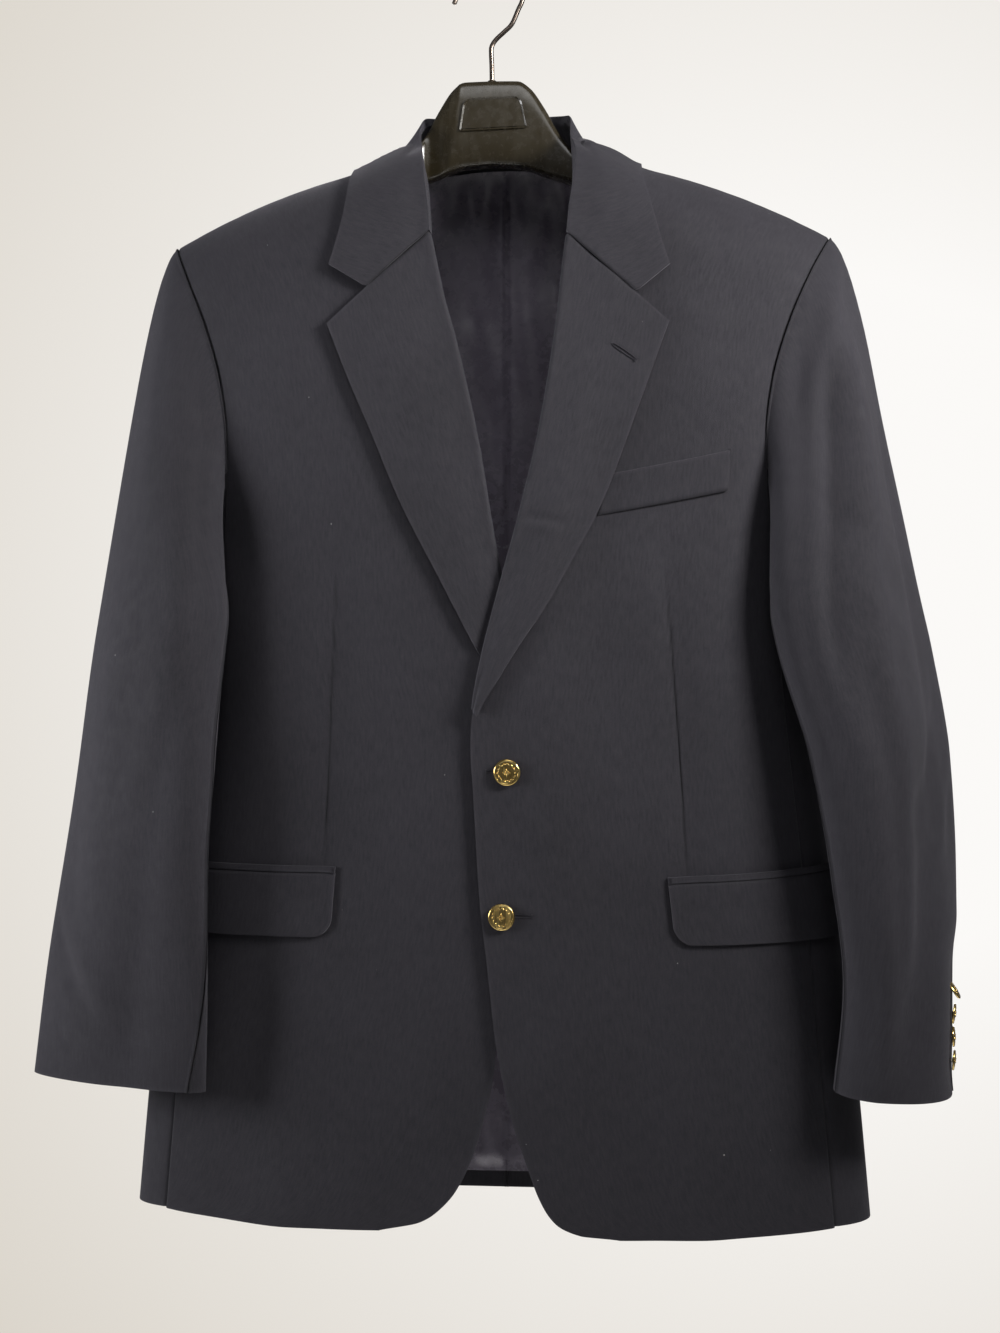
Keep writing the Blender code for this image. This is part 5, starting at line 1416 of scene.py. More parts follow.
@dataclass
class ClothPiece:
    """One cut piece of cloth: a fine grid on its form, turned in at its seams."""

    name: str
    columns: int
    rows: int
    surface: Callable[[Array, Array], Array]
    facing: int
    wall: float = 0.0014
    seams: dict[Edge, object] = field(default_factory=dict)
    crowd_u: tuple = ((0.0, 0.03, 2.5), (1.0, 0.03, 2.5))
    crowd_v: tuple = ROW_CROWD
    relief: Callable[[Array], Array] | None = None
    seed: float = 1.0
    round_edge: float = 0.00045
    seam_depth: float = SEAM_DEPTH
    flat_size: tuple[float, float] = (0.0, 0.0)
    flat_area: float = 0.0

    def distances(self, points: Array) -> tuple[dict[Edge, Array], Array, Array]:
        """How far each point lies from each edge, and the runs along and down the piece."""
        right = np.linalg.norm(np.diff(points, axis=1), axis=-1)
        down = np.linalg.norm(np.diff(points, axis=0), axis=-1)
        across = np.pad(np.cumsum(right, axis=1), ((0, 0), (1, 0)))
        fall = np.pad(np.cumsum(down, axis=0), ((1, 0), (0, 0)))
        near = {Edge.START: across, Edge.END: across[:, -1:] - across}
        near |= {Edge.TOP: fall, Edge.FOOT: fall[-1:] - fall}
        self.flat_size = (float(across[:, -1].max()), float(fall[-1].max()))
        return near, across, fall

    def build(self, material: bpy.types.Material) -> bpy.types.Object:
        """Makes the piece's object, with its wall and soft edge as modifiers."""
        u, v = np.meshgrid(spread(self.columns, self.crowd_u), spread(self.rows, self.crowd_v))
        points = self.surface(u, v)
        near, across, fall = self.distances(points)
        normal = grid_normals(points) * self.facing
        seam, pucker, free = np.zeros(u.shape), np.zeros(u.shape), np.zeros(u.shape)
        for edge in Edge:
            strength = np.broadcast_to(self.seams.get(edge, 0.0), u.shape)
            run = fall if edge in (Edge.START, Edge.END) else across
            seam = np.maximum(seam, strength * lump(near[edge], SEAM_ROLL))
            wave = uneven(run, self.seed + len(edge.value)) * np.exp(-near[edge] / 0.009)
            pucker += strength * wave * (1 - lump(near[edge], 0.003))
            free = np.maximum(free, (1 - strength) * lump(near[edge], 0.0016))
        height = PUCKER * pucker - self.seam_depth * seam
        if self.relief:
            marks = self.relief(points)
            height = height + marks
            # Where the relief sinks, the seam mask grows too, so painted shade also falls into sunk creases
            # such as darts.
            seam = np.maximum(seam, np.clip(-marks / 0.0009, 0.0, 1.0))
        points = points + normal * height[..., None]
        cloth = np.stack((across - across[:, -1:] / 2, -fall), axis=-1)
        bm = bmesh.new()
        bmesh.ops.create_grid(bm, x_segments=self.columns, y_segments=self.rows, size=0.5)
        where = []
        for vertex in bm.verts:
            column = round((vertex.co.x + 0.5) * self.columns)
            row = round((0.5 - vertex.co.y) * self.rows)
            where.append((row, column))
            vertex.co = points[row, column]
        if self.facing < 0:
            bmesh.ops.reverse_faces(bm, faces=bm.faces)
        self.flat_area = sum(face.calc_area() for face in bm.faces)
        data = mesh_of(bm, self.name)
        rows, columns = np.array(where).T
        layer = data.uv_layers.new(name="cloth")
        corners = np.empty(len(data.loops), int)
        data.loops.foreach_get("vertex_index", corners)
        layer.data.foreach_set("uv", cloth[rows, columns][corners].astype(np.float32).ravel())
        # The seam mask goes out as an attribute that paints shade into the seams in the material; the edge
        # mask marks the free edges for wear.
        for name, values in (("seam", seam), ("edge", free)):
            mark = data.attributes.new(name, "FLOAT", "POINT")
            mark.data.foreach_set("value", values[rows, columns].astype(np.float32))
        obj = place_mesh(self.name, data, material)
        wall = obj.modifiers.new("wall", "SOLIDIFY")
        wall.thickness, wall.offset, wall.use_even_offset = self.wall, 0.0, False
        soft = obj.modifiers.new("soft_edge", "BEVEL")
        soft.width, soft.segments, soft.limit_method = self.round_edge, 2, "ANGLE"
        soft.angle_limit, soft.harden_normals = math.radians(50), True
        return obj

    def sew(
        self, material: bpy.types.Material, slot: Slot, node: str
    ) -> None:
        """Builds the piece, enters it for its node and logs the size of its cut.

        Args:
            material: its finish.
            slot: the record's slot of that finish; it is not used.
            node: the node that it stands for.
        """
        obj = enter(self.build(material), slot, node)
        width, length = self.flat_size
        area = min(self.flat_area, width * length)
        LOG.info("%s is cut %.0f x %.0f mm, %.4f m2", self.name, width * 1e3, length * 1e3, self.flat_area)


def turn_profile(bm: bmesh.types.BMesh, profile: Iterable[tuple[float, float]], steps: int) -> None:
    """Turns a profile of (radius, height) points once about the upright axis."""
    verts = [bm.verts.new((radius, 0.0, height)) for radius, height in profile]
    edges = [bm.edges.new(pair) for pair in zip(verts, verts[1:])]
    turn = dict(cent=(0, 0, 0), axis=(0, 0, 1), angle=2 * math.pi, steps=steps, use_merge=True)
    bmesh.ops.spin(bm, geom=verts + edges, **turn)
    bmesh.ops.remove_doubles(bm, verts=bm.verts, dist=1e-7)


def thread_lines(
    name: str, lines: list[tuple[Array, Array, bool]], thick: float, material: bpy.types.Material
) -> bpy.types.Object:
    """Round threads along lines, as one mesh.

    Args:
        name: the piece's name.
        lines: (points, thickness share at each point, closed) for each thread.
        thick: a thread's radius at share 1.
        material: its finish.

    Returns:
        The piece's object.
    """
    curve = bpy.data.curves.new(name, "CURVE")
    curve.dimensions, curve.bevel_depth, curve.bevel_resolution = "3D", thick, 2
    curve.use_fill_caps = True
    for points, share, closed in lines:
        spline = curve.splines.new("POLY")
        spline.points.add(len(points) - 1)
        for control, point, radius in zip(spline.points, points, share):
            control.co, control.radius = (*point, 1.0), radius
        spline.use_cyclic_u = closed
    rope = bpy.data.objects.new(name + "_line", curve)
    bpy.context.scene.collection.objects.link(rope)
    data = bpy.data.meshes.new_from_object(rope)
    bpy.data.objects.remove(rope)
    data.name = name
    data.shade_smooth()
    data.materials.clear()
    return place_mesh(name, data, material)


@dataclass
class Button:
    """A gilt blazer button: a domed cap with a raised rim, a ring of leaves, a star and a shank."""

    name: str
    node: str
    diameter: float
    centre: Vector
    facing: Vector
    lean: float = 0.0
    loop: bool = False
    steps: int = 56
    leaves: int = 14

    def cap(self, bm: bmesh.types.BMesh, radius: float) -> None:
        """Turns the cap from its profile."""
        outline = (
            (0.0, 0.200), (0.30, 0.190), (0.56, 0.165), (0.74, 0.128), (0.80, 0.106), (0.825, 0.120),
            (0.86, 0.140), (0.91, 0.132), (0.955, 0.095), (0.985, 0.040), (1.0, -0.005), (0.985, -0.045),
            (0.93, -0.075), (0.60, -0.095), (0.24, -0.105), (0.22, -0.150), (0.0, -0.150),
        )
        turn_profile(bm, [(share * radius, height * radius) for share, height in outline], self.steps)

    def leaf(
        self, bm: bmesh.types.BMesh, radius: float, reach: float, angle: float, twist: float, size: tuple
    ) -> None:
        """Adds one small raised leaf on the cap."""
        made = bmesh.ops.create_icosphere(bm, subdivisions=2, radius=radius)["verts"]
        height = radius * (0.20 - 0.17 * reach**2.2)
        shape = Matrix.Diagonal((*size, 1.0))
        spot = Matrix.Translation((reach * radius, 0, height))
        turned = Matrix.Rotation(angle, 4, "Z") @ spot @ Matrix.Rotation(twist, 4, "Z") @ shape
        bmesh.ops.transform(bm, matrix=turned, verts=made)

    def shank(self, bm: bmesh.types.BMesh, radius: float) -> None:
        """Adds the wire loop behind the cap."""
        made = bmesh.ops.create_circle(bm, cap_ends=False, segments=10, radius=0.07 * radius)
        bmesh.ops.rotate(bm, verts=made["verts"], cent=(0, 0, 0), matrix=Matrix.Rotation(math.pi / 2, 3, "X"))
        bmesh.ops.translate(bm, verts=made["verts"], vec=(0.22 * radius, 0, -0.28 * radius))
        ring = list({edge for vertex in made["verts"] for edge in vertex.link_edges})
        turn = dict(cent=(0, 0, -0.28 * radius), axis=(0, 1, 0), angle=2 * math.pi, steps=18, use_merge=True)
        bmesh.ops.spin(bm, geom=made["verts"] + ring, **turn)

    def make(self, material: bpy.types.Material) -> bpy.types.Object:
        """Builds the button where its node is."""
        radius = self.diameter / 2
        bm = bmesh.new()
        self.cap(bm, radius)
        for step in range(self.leaves):
            angle = 2 * math.pi * step / self.leaves
            self.leaf(bm, radius, 0.63, angle, math.radians(58), (0.120, 0.046, 0.050))
        for step in range(8):
            size = (0.130, 0.040, 0.055) if step % 2 == 0 else (0.085, 0.034, 0.045)
            self.leaf(bm, radius, 0.19 if step % 2 == 0 else 0.15, math.pi * step / 4, 0.0, size)
        if self.loop:
            self.shank(bm, radius)
        bmesh.ops.recalc_face_normals(bm, faces=bm.faces)
        side = self.facing.to_track_quat("Z", "Y").to_matrix().to_4x4()
        lean = Matrix.Rotation(math.radians(self.lean), 4, "Y")
        above = self.facing * 0.2 * radius
        seat = Matrix.Translation(self.centre - above) @ lean @ Matrix.Translation(above)
        bmesh.ops.transform(bm, matrix=seat @ side, verts=bm.verts)
        return enter(place_mesh(self.name, mesh_of(bm, self.name), material), Slot.GILT, self.node)


@dataclass
class StitchWork:
    """Hand and machine stitches on one front: buttonholes and bar tacks."""

    side: str

    def spot(self, x: Array, z: Array, lift: float) -> Array:
        """Points on the front, in garment coordinates."""
        return front_off(self.side, np.asarray(x, float), np.asarray(z, float), lift)

    def hole(self, centre: tuple[float, float], length: float, tilt: float, lift: float) -> list:
        """A worked buttonhole: a lumpy thread ring round its slit and two stitches across an end."""
        angle = np.linspace(0, 2 * math.pi, HOLE_POINTS, endpoint=False)
        across = length / 2 * np.sign(np.cos(angle)) * np.abs(np.cos(angle)) ** 0.6
        up = 0.00105 * np.sin(angle)
        cosine, sine = math.cos(tilt), math.sin(tilt)
        x = centre[0] + across * cosine - up * sine
        z = centre[1] + across * sine + up * cosine
        ring = self.spot(x, z, lift)
        lumps = 0.8 + 0.22 * (np.arange(HOLE_POINTS) % 2)
        made = [(ring, lumps, True)]
        for off in (0.0003, -0.0004):
            at = np.array([-1.0, 0.0, 1.0]) * 0.0015
            bar_x = centre[0] + (length / 2 + off) * cosine - at * sine
            bar_z = centre[1] + (length / 2 + off) * sine + at * cosine
            made.append((self.spot(bar_x, bar_z, lift + 0.0002), np.ones(3), False))
        return made

    def bar(self, x: float, z: float, length: float, lift: float) -> list:
        """A bar tack: three short upright stitches side by side."""
        rows = []
        for off in (-0.0007, 0.0, 0.0007):
            at = np.linspace(-length / 2, length / 2, 4)
            rows.append((self.spot(x + off + 0 * at, z + at, lift), np.full(4, 0.8), False))
        return rows


@dataclass
class Hanger:
    """The broad suit hanger: its body, the bare plate on its neck and its wire hook."""

    wire: float = HOOK_WIRE
    radius: float = HOOK_RADIUS
    plate_top: float = 0.0425
    plate_foot: float = 0.0510
    plate_height: float = 0.0240
    plate_lean: float = -1.6

    def body(self, material: bpy.types.Material) -> bpy.types.Object:
        """The moulded body, closed at its arm ends."""
        bm = bmesh.new()
        columns, rows = 150, 72
        bmesh.ops.create_grid(bm, x_segments=columns, y_segments=rows, size=0.5)
        u = np.array([v.co.x + 0.5 for v in bm.verts])
        v = np.array([v.co.y + 0.5 for v in bm.verts])
        for vertex, point in zip(bm.verts, hanger_surface(u, v)):
            vertex.co = point
        bmesh.ops.remove_doubles(bm, verts=bm.verts, dist=0.000001)
        rim = [edge for edge in bm.edges if edge.is_boundary]
        bmesh.ops.holes_fill(bm, edges=rim, sides=0)
        bmesh.ops.recalc_face_normals(bm, faces=bm.faces)
        obj = place_mesh("hanger_shell", mesh_of(bm, "hanger_shell"), material)
        return enter(obj, Slot.PLASTIC, "hanger_body")

    def plate(self, material: bpy.types.Material) -> bpy.types.Object:
        """A bare plate with a raised border and a small lip at its foot."""
        bm = bmesh.new()
        bmesh.ops.create_grid(bm, x_segments=1, y_segments=1, size=0.5)
        for vertex in bm.verts:
            half = self.plate_top if vertex.co.y > 0 else self.plate_foot
            vertex.co = (vertex.co.x * half, 0.0, vertex.co.y * self.plate_height)
        bm.normal_update()
        bmesh.ops.recalc_face_normals(bm, faces=bm.faces)
        rounding = dict(profile=0.5, material=-1, affect="VERTICES")
        corners = [v for v in bm.verts if v.co.z > 0]
        bmesh.ops.bevel(bm, geom=corners, offset=0.006, segments=6, **rounding)
        low = [v for v in bm.verts if v.co.z < -0.49 * self.plate_height]
        bmesh.ops.bevel(bm, geom=low, offset=0.0016, segments=3, **rounding)
        raised = bmesh.ops.extrude_face_region(bm, geom=bm.faces[:])["geom"]
        front = [g for g in raised if isinstance(g, bmesh.types.BMVert)]
        bmesh.ops.translate(bm, verts=front, vec=(0, -0.0016, 0))
        face = min(bm.faces, key=lambda f: f.calc_center_median().y if abs(f.normal.y) > 0.9 else 1.0)
        bmesh.ops.inset_region(bm, faces=[face], thickness=0.0012, depth=0.0)
        bmesh.ops.translate(bm, verts=face.verts, vec=(0, 0.0010, 0))
        bmesh.ops.inset_region(bm, faces=[face], thickness=0.0007, depth=0.0)
        bmesh.ops.recalc_face_normals(bm, faces=bm.faces)
        depth = float(HANGER.read("depth", 0.0))
        lean = Matrix.Rotation(math.radians(self.plate_lean), 3, "Y")
        place = (HANGER_MIDDLE + 0.0016, -depth - 0.0001, PLATE_HEIGHT - 0.0006)
        bmesh.ops.rotate(bm, verts=bm.verts, cent=(0, 0, 0), matrix=lean)
        bmesh.ops.translate(bm, verts=bm.verts, vec=place)
        obj = place_mesh("hanger_bare_plate", mesh_of(bm, "hanger_bare_plate", smooth=False), material)
        soft = obj.modifiers.new("soft_edge", "BEVEL")
        soft.width, soft.segments, soft.angle_limit = 0.0002, 3, math.radians(35)
        return enter(obj, Slot.PLASTIC, "hanger_plate")

    def route(self) -> Array:
        """The wire's line: up from the body, round the bend and over the crown to its tip."""
        centre = np.array([-HOOK_ASIDE, 0.0, self.wire / 2 - self.radius])
        stem = float(HANGER.read("top", 0.0))
        rise = (
            (0, -0.004), (-0.0002, 0.012), (-0.0006, 0.022), (-0.0002, 0.0275),
            (0.0030, 0.0325), (0.0090, 0.0380), (0.0150, 0.0440),
        )
        points = [(HANGER_MIDDLE + x, 0.0, stem + z) for x, z in rise]
        for angle in np.radians(np.linspace(-32, 190, 18)):
            points.append(tuple(centre + np.array([math.cos(angle), 0, math.sin(angle)]) * self.radius))
        points.append((points[-1][0] - 0.0016, 0.0, points[-1][2] - 0.0040))
        return np.array(points)

    def hook(self, material: bpy.types.Material) -> bpy.types.Object:
        """The bent wire, smoothed along its line."""
        knots = self.route()
        steps = np.linspace(0, len(knots) - 1, 8 * len(knots))
        low = np.clip(steps.astype(int), 0, len(knots) - 2)
        t = (steps - low)[:, None]
        before, start, end = knots[np.maximum(low - 1, 0)], knots[low], knots[low + 1]
        after = knots[np.minimum(low + 2, len(knots) - 1)]
        curve = 2 * start + (end - before) * t + (2 * before - 5 * start + 4 * end - after) * t**2
        line = 0.5 * (curve + (3 * start - before - 3 * end + after) * t**3)
        share = np.ones(len(line))
        share[-1], share[-2] = 0.55, 0.92
        data = thread_lines("hook_wire", [(line, share, False)], self.wire / 2, material)
        return enter(data, Slot.STEEL, "hanger_hook")

    def nub(self, material: bpy.types.Material) -> bpy.types.Object:
        """The small moulded collar round the wire's foot."""
        stem = float(HANGER.read("top", 0.0))
        bm = bmesh.new()
        profile = ((0.0019, 0.0016), (0.0030, 0.0014), (0.0036, 0.0006), (0.0042, -0.0020), (0.0, -0.0020))
        turn_profile(bm, profile, 28)
        bmesh.ops.holes_fill(bm, edges=[e for e in bm.edges if e.is_boundary], sides=0)
        bmesh.ops.recalc_face_normals(bm, faces=bm.faces)
        bmesh.ops.translate(bm, verts=bm.verts, vec=(HANGER_MIDDLE, 0, stem))
        return enter(place_mesh("hanger_nub", mesh_of(bm, "hanger_nub"), material), Slot.PLASTIC)


@dataclass
class Blazer:
    """The jacket: every cut piece, its trim and its buttons."""

    wool: bpy.types.Material
    collar_wool: bpy.types.Material
    satin: bpy.types.Material
    gilt: bpy.types.Material
    thread: bpy.types.Material

    def jet(self, side: str) -> bpy.types.Object:
        """The folded strip along the pocket mouth, a trim on its front."""
        foot = FLAP[side]["top"] + SEAM_GAP
        strip = flap_corners(side, foot + JET_HEIGHT, foot, 1.0)
        piece = ClothPiece(
            f"jet_{side}_cloth", 70, 8, lambda u, v: patch_surface(side, strip, PATCH_CLEAR, 0.0, u, v),
            SIDES[side], wall=0.0020, seams={Edge.TOP: 0.5}, seed=35.0, round_edge=0.0006,
            crowd_v=(), seam_depth=0.0006,
        )
        return enter(piece.build(self.wool), Slot.WOOL, f"jet_{side}")

    def body(self, side: str, jet: bpy.types.Object) -> None:
        """The front, the back and the side panel of one side."""
        sign = SIDES[side]

        def darts(points: Array) -> Array:
            """How far the front's darts sink its surface."""
            return crease_height(DARTS[side], points[..., 0] * sign, points[..., 2])

        ClothPiece(
            f"front_{side}_cloth", 104, 236, lambda u, v: front_surface(side, u, v), sign, relief=darts,
            seams={Edge.END: 1.0, Edge.TOP: 1.0}, seed=1.0 + sign, wall=0.0015,
            crowd_u=((0.0, 0.02, 2.2), (1.0, 0.02, 2.6), (0.585 if sign > 0 else 0.56, 0.045, 2.6)),
            crowd_v=((0.0, 0.02, 1.5),),
        ).sew(self.wool, Slot.WOOL, f"front_{side}")
        ClothPiece(
            f"back_{side}_cloth", 76, 170, lambda u, v: back_surface(side, u, v), -sign,
            seams=SEWN_ABOVE, seed=4.0 + sign,
        ).sew(self.wool, Slot.WOOL, f"back_{side}")
        ClothPiece(
            f"side_{side}_cloth", 36, 110, lambda u, v: side_surface(side, u, v), sign,
            seams=SEWN_ABOVE, seed=7.0 + sign,
        ).sew(self.wool, Slot.WOOL, f"side_{side}")

    def lining(self, side: str) -> None:
        """Half of the back lining, joined at the centre and felled at its other edges."""
        ClothPiece(
            f"lining_{side}_satin", 100, 205, lambda u, v: lining_surface(side, u, v), -SIDES[side],
            wall=0.0006, seams={Edge.START: 0.6}, seed=11.0 + SIDES[side], round_edge=0.0002,
            seam_depth=0.0007, crowd_u=((0.0, 0.03, 2.5),),
        ).sew(self.satin, Slot.LINING, f"lining_back_{side}")

    def sleeve(self, side: str) -> SleeveForm:
        """The top and under sleeve of one side."""
        form, sign = SleeveForm(side), SIDES[side]
        free_cuff = 1 - ease((spread(150, ROW_CROWD) - FREE_CUFF_FROM) / 0.03)
        ClothPiece(
            f"top_sleeve_{side}_cloth", 92, 150, form.top, sign,
            seams={Edge.START: free_cuff[:, None], Edge.END: 1.0, Edge.TOP: 1.0}, seed=14.0 + sign,
        ).sew(self.wool, Slot.WOOL, f"top_sleeve_{side}")
        ClothPiece(
            f"under_sleeve_{side}_cloth", 56, 130, form.under, sign,
            seams=SEWN_ABOVE, seed=17.0 + sign,
        ).sew(
            self.wool, Slot.WOOL, f"under_sleeve_{side}"
        )
        return form

    def neck(self) -> None:
        """The two lapels and the collar, joined along the gorge up to the notch."""
        for side, sign in SIDES.items():
            shares = spread(48, LAPEL_CROWD)
            sewn = 1 - ease((shares - NOTCH_SHARE[side] + 0.01) / 0.03)
            ClothPiece(
                f"lapel_{side}_cloth", 48, 120, lambda u, v, side=side: lapel_surface(side, u, v), sign,
                wall=0.0020, seams={Edge.TOP: sewn[None, :]}, seed=21.0 + sign, round_edge=0.0006,
                crowd_u=LAPEL_CROWD, crowd_v=((0.0, 0.02, 2.5),), seam_depth=0.0009,
            ).sew(self.collar_wool, Slot.COLLAR, f"lapel_{side}")
        shares = spread(46, COLLAR_CROWD)
        fall = (shares - FOLD_SHARE) / (1 - FOLD_SHARE)
        sewn = (ease(fall / 0.02) * (1 - ease((fall - COLLAR_SPLIT + 0.02) / 0.03)))[:, None]
        ClothPiece(
            "collar_cloth", 190, 46, collar_surface, -1, wall=0.0018, round_edge=0.0006,
            seams={Edge.START: sewn, Edge.END: sewn, Edge.TOP: 1.0}, seed=25.0, seam_depth=0.0009,
            crowd_u=((0.0, 0.02, 3.0), (1.0, 0.02, 3.0)), crowd_v=COLLAR_CROWD,
        ).sew(self.collar_wool, Slot.COLLAR, "collar")

    def flap(self, side: str) -> None:
        """The pocket's flap."""
        flap = FLAP[side]
        corners = flap_corners(side, flap["top"], flap["foot"], 0.5)
        ClothPiece(
            f"flap_{side}_cloth", 70, 40,
            lambda u, v: patch_surface(side, corners, PATCH_CLEAR, FLAP_CORNER, u, v),
            SIDES[side], wall=0.0022, seams={Edge.TOP: 0.9}, seed=31.0 + SIDES[side], round_edge=0.0007,
            crowd_v=((0.0, 0.05, 1.5), (1.0, 0.12, 2.5)), crowd_u=((0.0, 0.05, 2.5),),
        ).sew(self.wool, Slot.WOOL, f"flap_{side}")

    def welt(self) -> None:
        """The chest pocket's welt, sewn at its ends and foot."""
        ClothPiece(
            "chest_welt_cloth", 70, 26,
            lambda u, v: patch_surface("left", WELT_CORNERS, PATCH_CLEAR - 0.0006, 0.0, u, v), 1, wall=0.0018,
            seams={Edge.START: 0.9, Edge.END: 0.9, Edge.FOOT: 0.9}, seed=41.0, round_edge=0.0005,
        ).sew(self.wool, Slot.WOOL, "chest_welt")

    def front_buttons(self) -> None:
        """The two front buttons."""
        for name, (x, z) in BUTTON_HEIGHTS.items():
            lift = SHELL_WALL / 2 + SEAM_GAP + 0.24 * FRONT_BUTTON / 2
            seat = Vector(front_off("left", x, z, lift))
            Button(
                f"gilt_button_{name}", f"front_button_{name}", FRONT_BUTTON, seat, Vector((0, -1, 0))
            ).make(self.gilt)

    def cuff_buttons(self, side: str, form: SleeveForm) -> None:
        """Four buttons up one cuff, the top ones hanging a little askew."""
        turn = CUFF_BUTTON_TURN[side]
        for number in range(CUFF_BUTTON_COUNT):
            height = CUFF_BUTTON_LOWEST + number * CUFF_BUTTON_PITCH
            join_at = float(form.join(np.array(turn)))
            down = CAP_SHARE + (1 - CAP_SHARE) * (join_at - height) / (join_at - SLEEVE_HEM)
            turns = np.array([turn, turn + 8.0, turn - 8.0, turn, turn])
            downs = down + np.array([0, 0, 0, 0.01, -0.01])
            seat, ahead, behind, below, above = form.point(turns, downs)
            normal = unit(np.cross(ahead - behind, below - above)) * SIDES[side]
            lift = SHELL_WALL / 2 + CUFF_BUTTON_SEAT[side][number] + 0.24 * CUFF_BUTTON / 2
            Button(
                f"gilt_cuff_{side}_{number + 1}", f"cuff_button_{side}_{number + 1}", CUFF_BUTTON,
                Vector(seat + normal * lift), Vector(normal), CUFF_BUTTON_LEAN[side][number], True, 40, 12,
            ).make(self.gilt)

    def stitches(self) -> None:
        """Buttonholes and tacks in dark thread."""
        left, right = StitchWork("left"), StitchWork("right")
        lower, upper = BUTTON_HEIGHTS["lower"], BUTTON_HEIGHTS["upper"]
        work = left.hole((lower[0] + 0.0115, lower[1] + 0.0005), 0.022, 0.0, SHELL_WALL / 2 + 0.0001)
        work += left.hole((upper[0] - 0.0045, upper[1] + 0.0005), 0.022, math.pi, SHELL_WALL / 2 + 0.0001)
        for x in (0.1700, 0.0785):
            z = -0.3785 if x > 0.1 else -0.3970
            work += left.bar(x, z, 0.0045, PATCH_CLEAR + 0.0009)
        for side, stitch in (("left", left), ("right", right)):
            x, z = FLAP[side]["inner"] + 0.0012, FLAP[side]["top"] + 0.0022
            work += stitch.bar(x, z, 0.0050, PATCH_CLEAR + 0.0012)
        piece = thread_lines("dark_stitches", work, 0.00036, self.thread)
        enter(piece, Slot.WOOL)
        low = SHELL_WALL / 2 + LAPEL_WALL / 2 + SEAM_GAP + 0.0040 + 0.0009
        hole = left.hole((0.0953, -0.3075), 0.0205, -0.60, low)
        lapel = thread_lines("lapel_buttonhole", hole, 0.00034, self.thread)
        enter(lapel, Slot.COLLAR)
        z = np.array([-0.2700, -0.2722, -0.2745, -0.2768])
        points = [
            torso_off(np.full(2, math.pi + w), np.array([a, b]), -LINING_INSET - 0.0022)
            for a, b, w in zip(z, z - 0.0012, (0.012, -0.010, 0.010, -0.012))
        ]
        tack = thread_lines("lining_tack", [(p, np.ones(2), False) for p in points], 0.00035, self.thread)
        enter(tack, Slot.LINING)

    def build(self) -> None:
        """Makes the whole jacket in sewing order."""
        for side in SIDES:
            self.body(side, self.jet(side))
            self.lining(side)
            self.flap(side)
            self.cuff_buttons(side, self.sleeve(side))
        self.welt()
        self.neck()
        self.front_buttons()
        self.stitches()


@dataclass(frozen=True)
class SoftLamp:
    """A square soft light."""

    name: str
    place: tuple[float, float, float]
    aim: tuple[float, float, float]
    size: float
    watts: float
    spread: float
    colour: tuple[float, float, float] = (1.0, 1.0, 1.0)

    def make(self) -> None:
        """Adds the light."""
        data = bpy.data.lights.new(self.name, "AREA")
        data.shape, data.size, data.energy, data.color = "SQUARE", self.size, self.watts, self.colour
        data.spread = math.radians(self.spread)
        lamp = bpy.data.objects.new(self.name, data)
        lamp.location, lamp.visible_camera = self.place, False
        lamp.rotation_euler = (Vector(self.aim) - Vector(self.place)).to_track_quat("-Z", "Y").to_euler()
        bpy.context.scene.collection.objects.link(lamp)


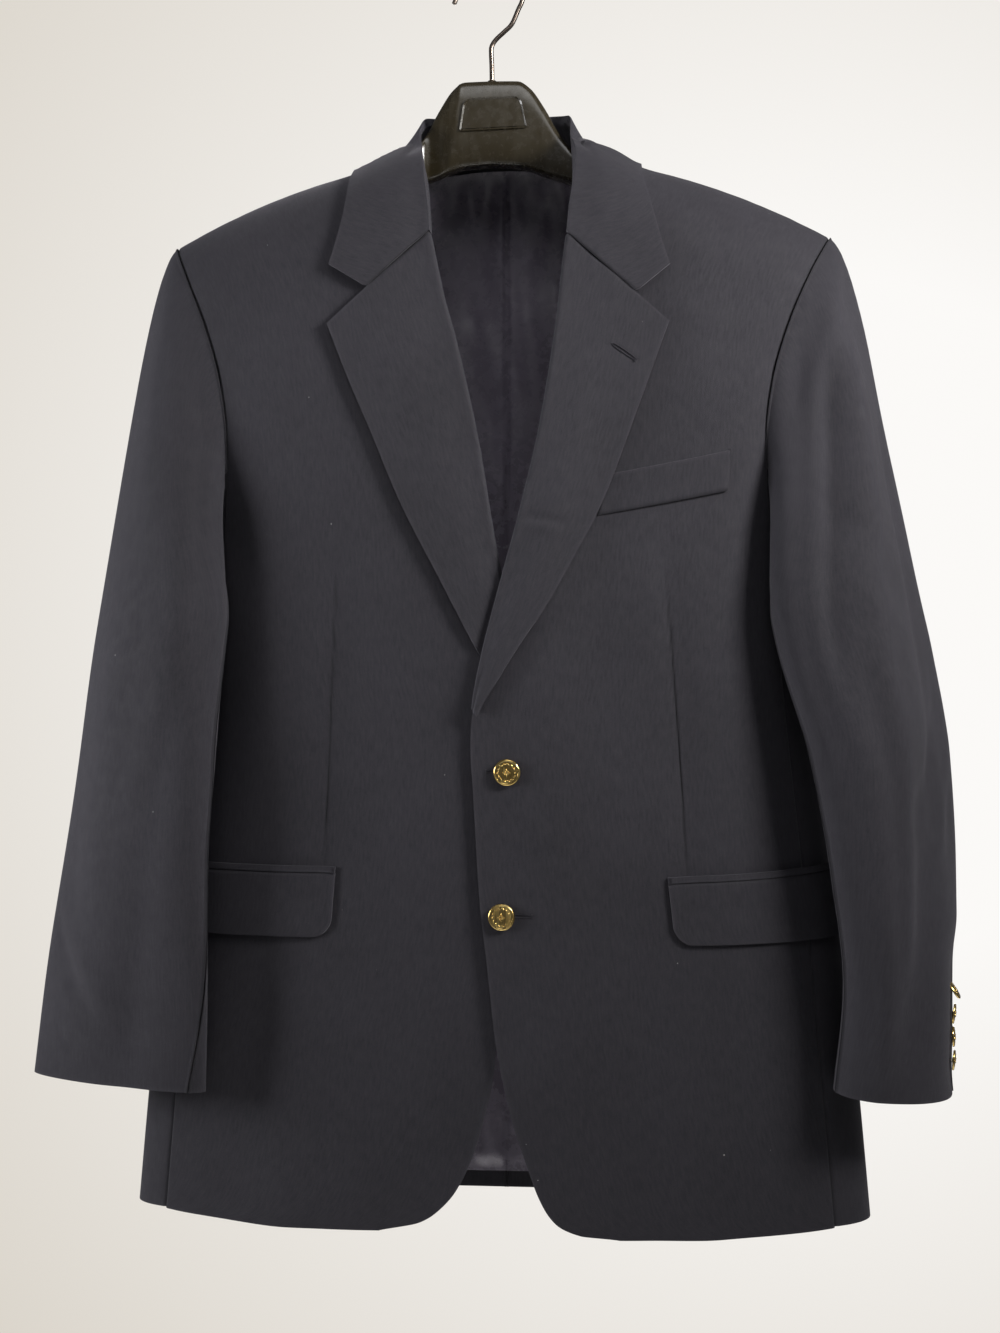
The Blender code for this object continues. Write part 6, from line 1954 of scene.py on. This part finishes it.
@dataclass
class Studio:
    """The camera at the photograph's angle, soft lights, a pale surround and a pale floor."""

    lens: float = 57.39
    camera_at: tuple[float, float, float] = (0.14745, -1.59391, -0.532)
    aim: tuple[float, float, float] = (0.008, 0.0, -0.532)
    backdrop: tuple[float, float, float] = (0.965, 0.95, 0.93)
    # The backdrop as seen: a painted pool of light round one spot, fading to painted shade at its edges.
    backdrop_painted_shade: tuple[float, float, float] = (0.68, 0.635, 0.565)
    painted_light_spot: tuple[float, float, float] = (0.06, 1.0, 0.02)
    fill: float = 0.08
    floor_height: float = -2.0

    def camera(self) -> None:
        """The main camera."""
        data = bpy.data.cameras.new("main_view")
        data.lens, data.sensor_width, data.clip_start = self.lens, 36.0, 0.01
        view = bpy.data.objects.new("main_view", data)
        view.location = self.camera_at
        view.rotation_euler = (Vector(self.aim) - Vector(self.camera_at)).to_track_quat("-Z", "Y").to_euler()
        bpy.context.scene.collection.objects.link(view)
        bpy.context.scene.camera = view

    def surround(self) -> None:
        """A pale surround, dimmer as a light than it looks; as seen, it carries a painted pool of light round
        one spot and painted shade towards its edges.
        """
        world = bpy.data.worlds.new("surround")
        world.use_nodes = True
        g = Graph(world.node_tree)
        world.node_tree.nodes.clear()
        way = g.add("TexCoord").outputs["Generated"]
        apart = g.add("VectorMath", {0: way, 1: self.painted_light_spot}, operation="DISTANCE").outputs["Value"]
        share = g.remap(apart, 0.16, 0.52, 0.0, 1.0)
        tone = g.blend(share, (*self.backdrop, 1.0), (*self.backdrop_painted_shade, 1.0))
        shown = g.add("Background", {"Color": tone, "Strength": 1.0})
        fill = g.add("Background", {"Color": (0.97, 0.97, 1.0, 1.0), "Strength": self.fill})
        seen = g.add("LightPath").outputs["Is Camera Ray"]
        pick = g.add("MixShader", {0: seen, 1: fill.outputs[0], 2: shown.outputs[0]})
        g.tree.links.new(pick.outputs[0], g.tree.nodes.new("ShaderNodeOutputWorld").inputs[0])
        bpy.context.scene.world = world
        bpy.context.scene.view_settings.view_transform = "Standard"
        bpy.context.scene.view_settings.look = "None"

    def floor(self) -> None:
        """A plain pale floor, far below the hanging jacket."""
        bm = bmesh.new()
        bmesh.ops.create_circle(bm, cap_ends=True, segments=96, radius=2.4)
        bmesh.ops.translate(bm, verts=bm.verts, vec=(0, 0, self.floor_height))
        data = mesh_of(bm, "floor", smooth=False)
        material, g, shader = start_material("pale_floor")
        age = g.add("Group", node_tree=shared("age"))
        g.tree.links.new(g.add("TexCoord").outputs["Object"], age.inputs["Vector"])
        colour = g.blend(age.outputs["Mottle"], (0.80, 0.79, 0.76, 1.0), (0.84, 0.83, 0.81, 1.0))
        join(g, shader, Base_Color=colour)
        set_values(shader, {"Roughness": 0.9})
        data.materials.append(material)
        ground = bpy.data.objects.new("floor", data)
        bpy.context.scene.collection.objects.link(ground)

    def lights(self) -> None:
        """A key from the right, a fill from the left, one overhead, one behind and one on the floor."""
        lamps = (
            SoftLamp("key", (1.12, -0.70, 0.12), (0.0, 0.0, -0.26), 0.42, 6.0, 84.0, (1.0, 0.985, 0.96)),
            SoftLamp(
                "left_fill", (-1.40, -0.46, -0.42), (0.0, 0.0, -0.52), 0.6, 6.8, 110.0, (0.98, 0.98, 1.0)
            ),
            SoftLamp("overhead", (0.1, -1.1, 0.7), (0.0, 0.0, -0.22), 0.8, 1.1, 80.0),
            SoftLamp("behind", (0.2, 1.9, -1.1), (0.0, 0.0, -0.5), 1.0, 20.0, 150.0),
            SoftLamp("floor_wash", (0.0, 0.0, -1.35), (0.0, 0.001, -2.0), 1.6, 20.0, 170.0),
        )
        for lamp in lamps:
            lamp.make()

    def build(self) -> None:
        """Makes the whole studio."""
        self.camera()
        self.surround()
        self.floor()
        self.lights()


def main() -> None:
    """Builds the studio, the hanger and the jacket, and reports each piece."""
    logging.basicConfig(level=logging.INFO, format="%(name)s: %(message)s")
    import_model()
    Studio().build()
    wool = ClothFinish("navy_wool", (0.0125, 0.0119, 0.0165), (0.040, 0.0375, 0.0455)).make()
    collar_wool = ClothFinish(
        "navy_wool_collar", (0.0130, 0.0124, 0.0170), (0.041, 0.0385, 0.0465), sheen=0.26
    ).make()
    satin = ClothFinish(
        "lining_satin", (0.150, 0.132, 0.172), (0.190, 0.170, 0.215), pitch=3200.0, slub=0.4,
        rough=(0.22, 0.33), sheen=0.10, sheen_tint=(0.8, 0.75, 0.9), sheen_rough=0.3, specular=0.90,
        bump=0.08, lint=0.0, anisotropic=0.35, clouds=0.06,
    ).make()
    dark, light = (0.012, 0.011, 0.015), (0.030, 0.028, 0.036)
    thread = ClothFinish("dark_thread", dark, light, bump=0.5, lint=0.0).make()
    gilt = MetalFinish("gilt", (0.92, 0.68, 0.26), (0.40, 0.24, 0.06)).make()
    steel = MetalFinish("hook_steel", (0.24, 0.20, 0.17), (0.09, 0.07, 0.06), (0.22, 0.42), 180.0).make()
    plastic = MouldedFinish("hanger_plastic", (0.026, 0.0205, 0.0110), (0.11, 0.10, 0.08)).make()
    hanger = Hanger()
    hanger.body(plastic)
    hanger.plate(plastic)
    hanger.nub(plastic)
    hanger.hook(steel)
    Blazer(wool, collar_wool, satin, gilt, thread).build()


if __name__ == "__main__":
    main()
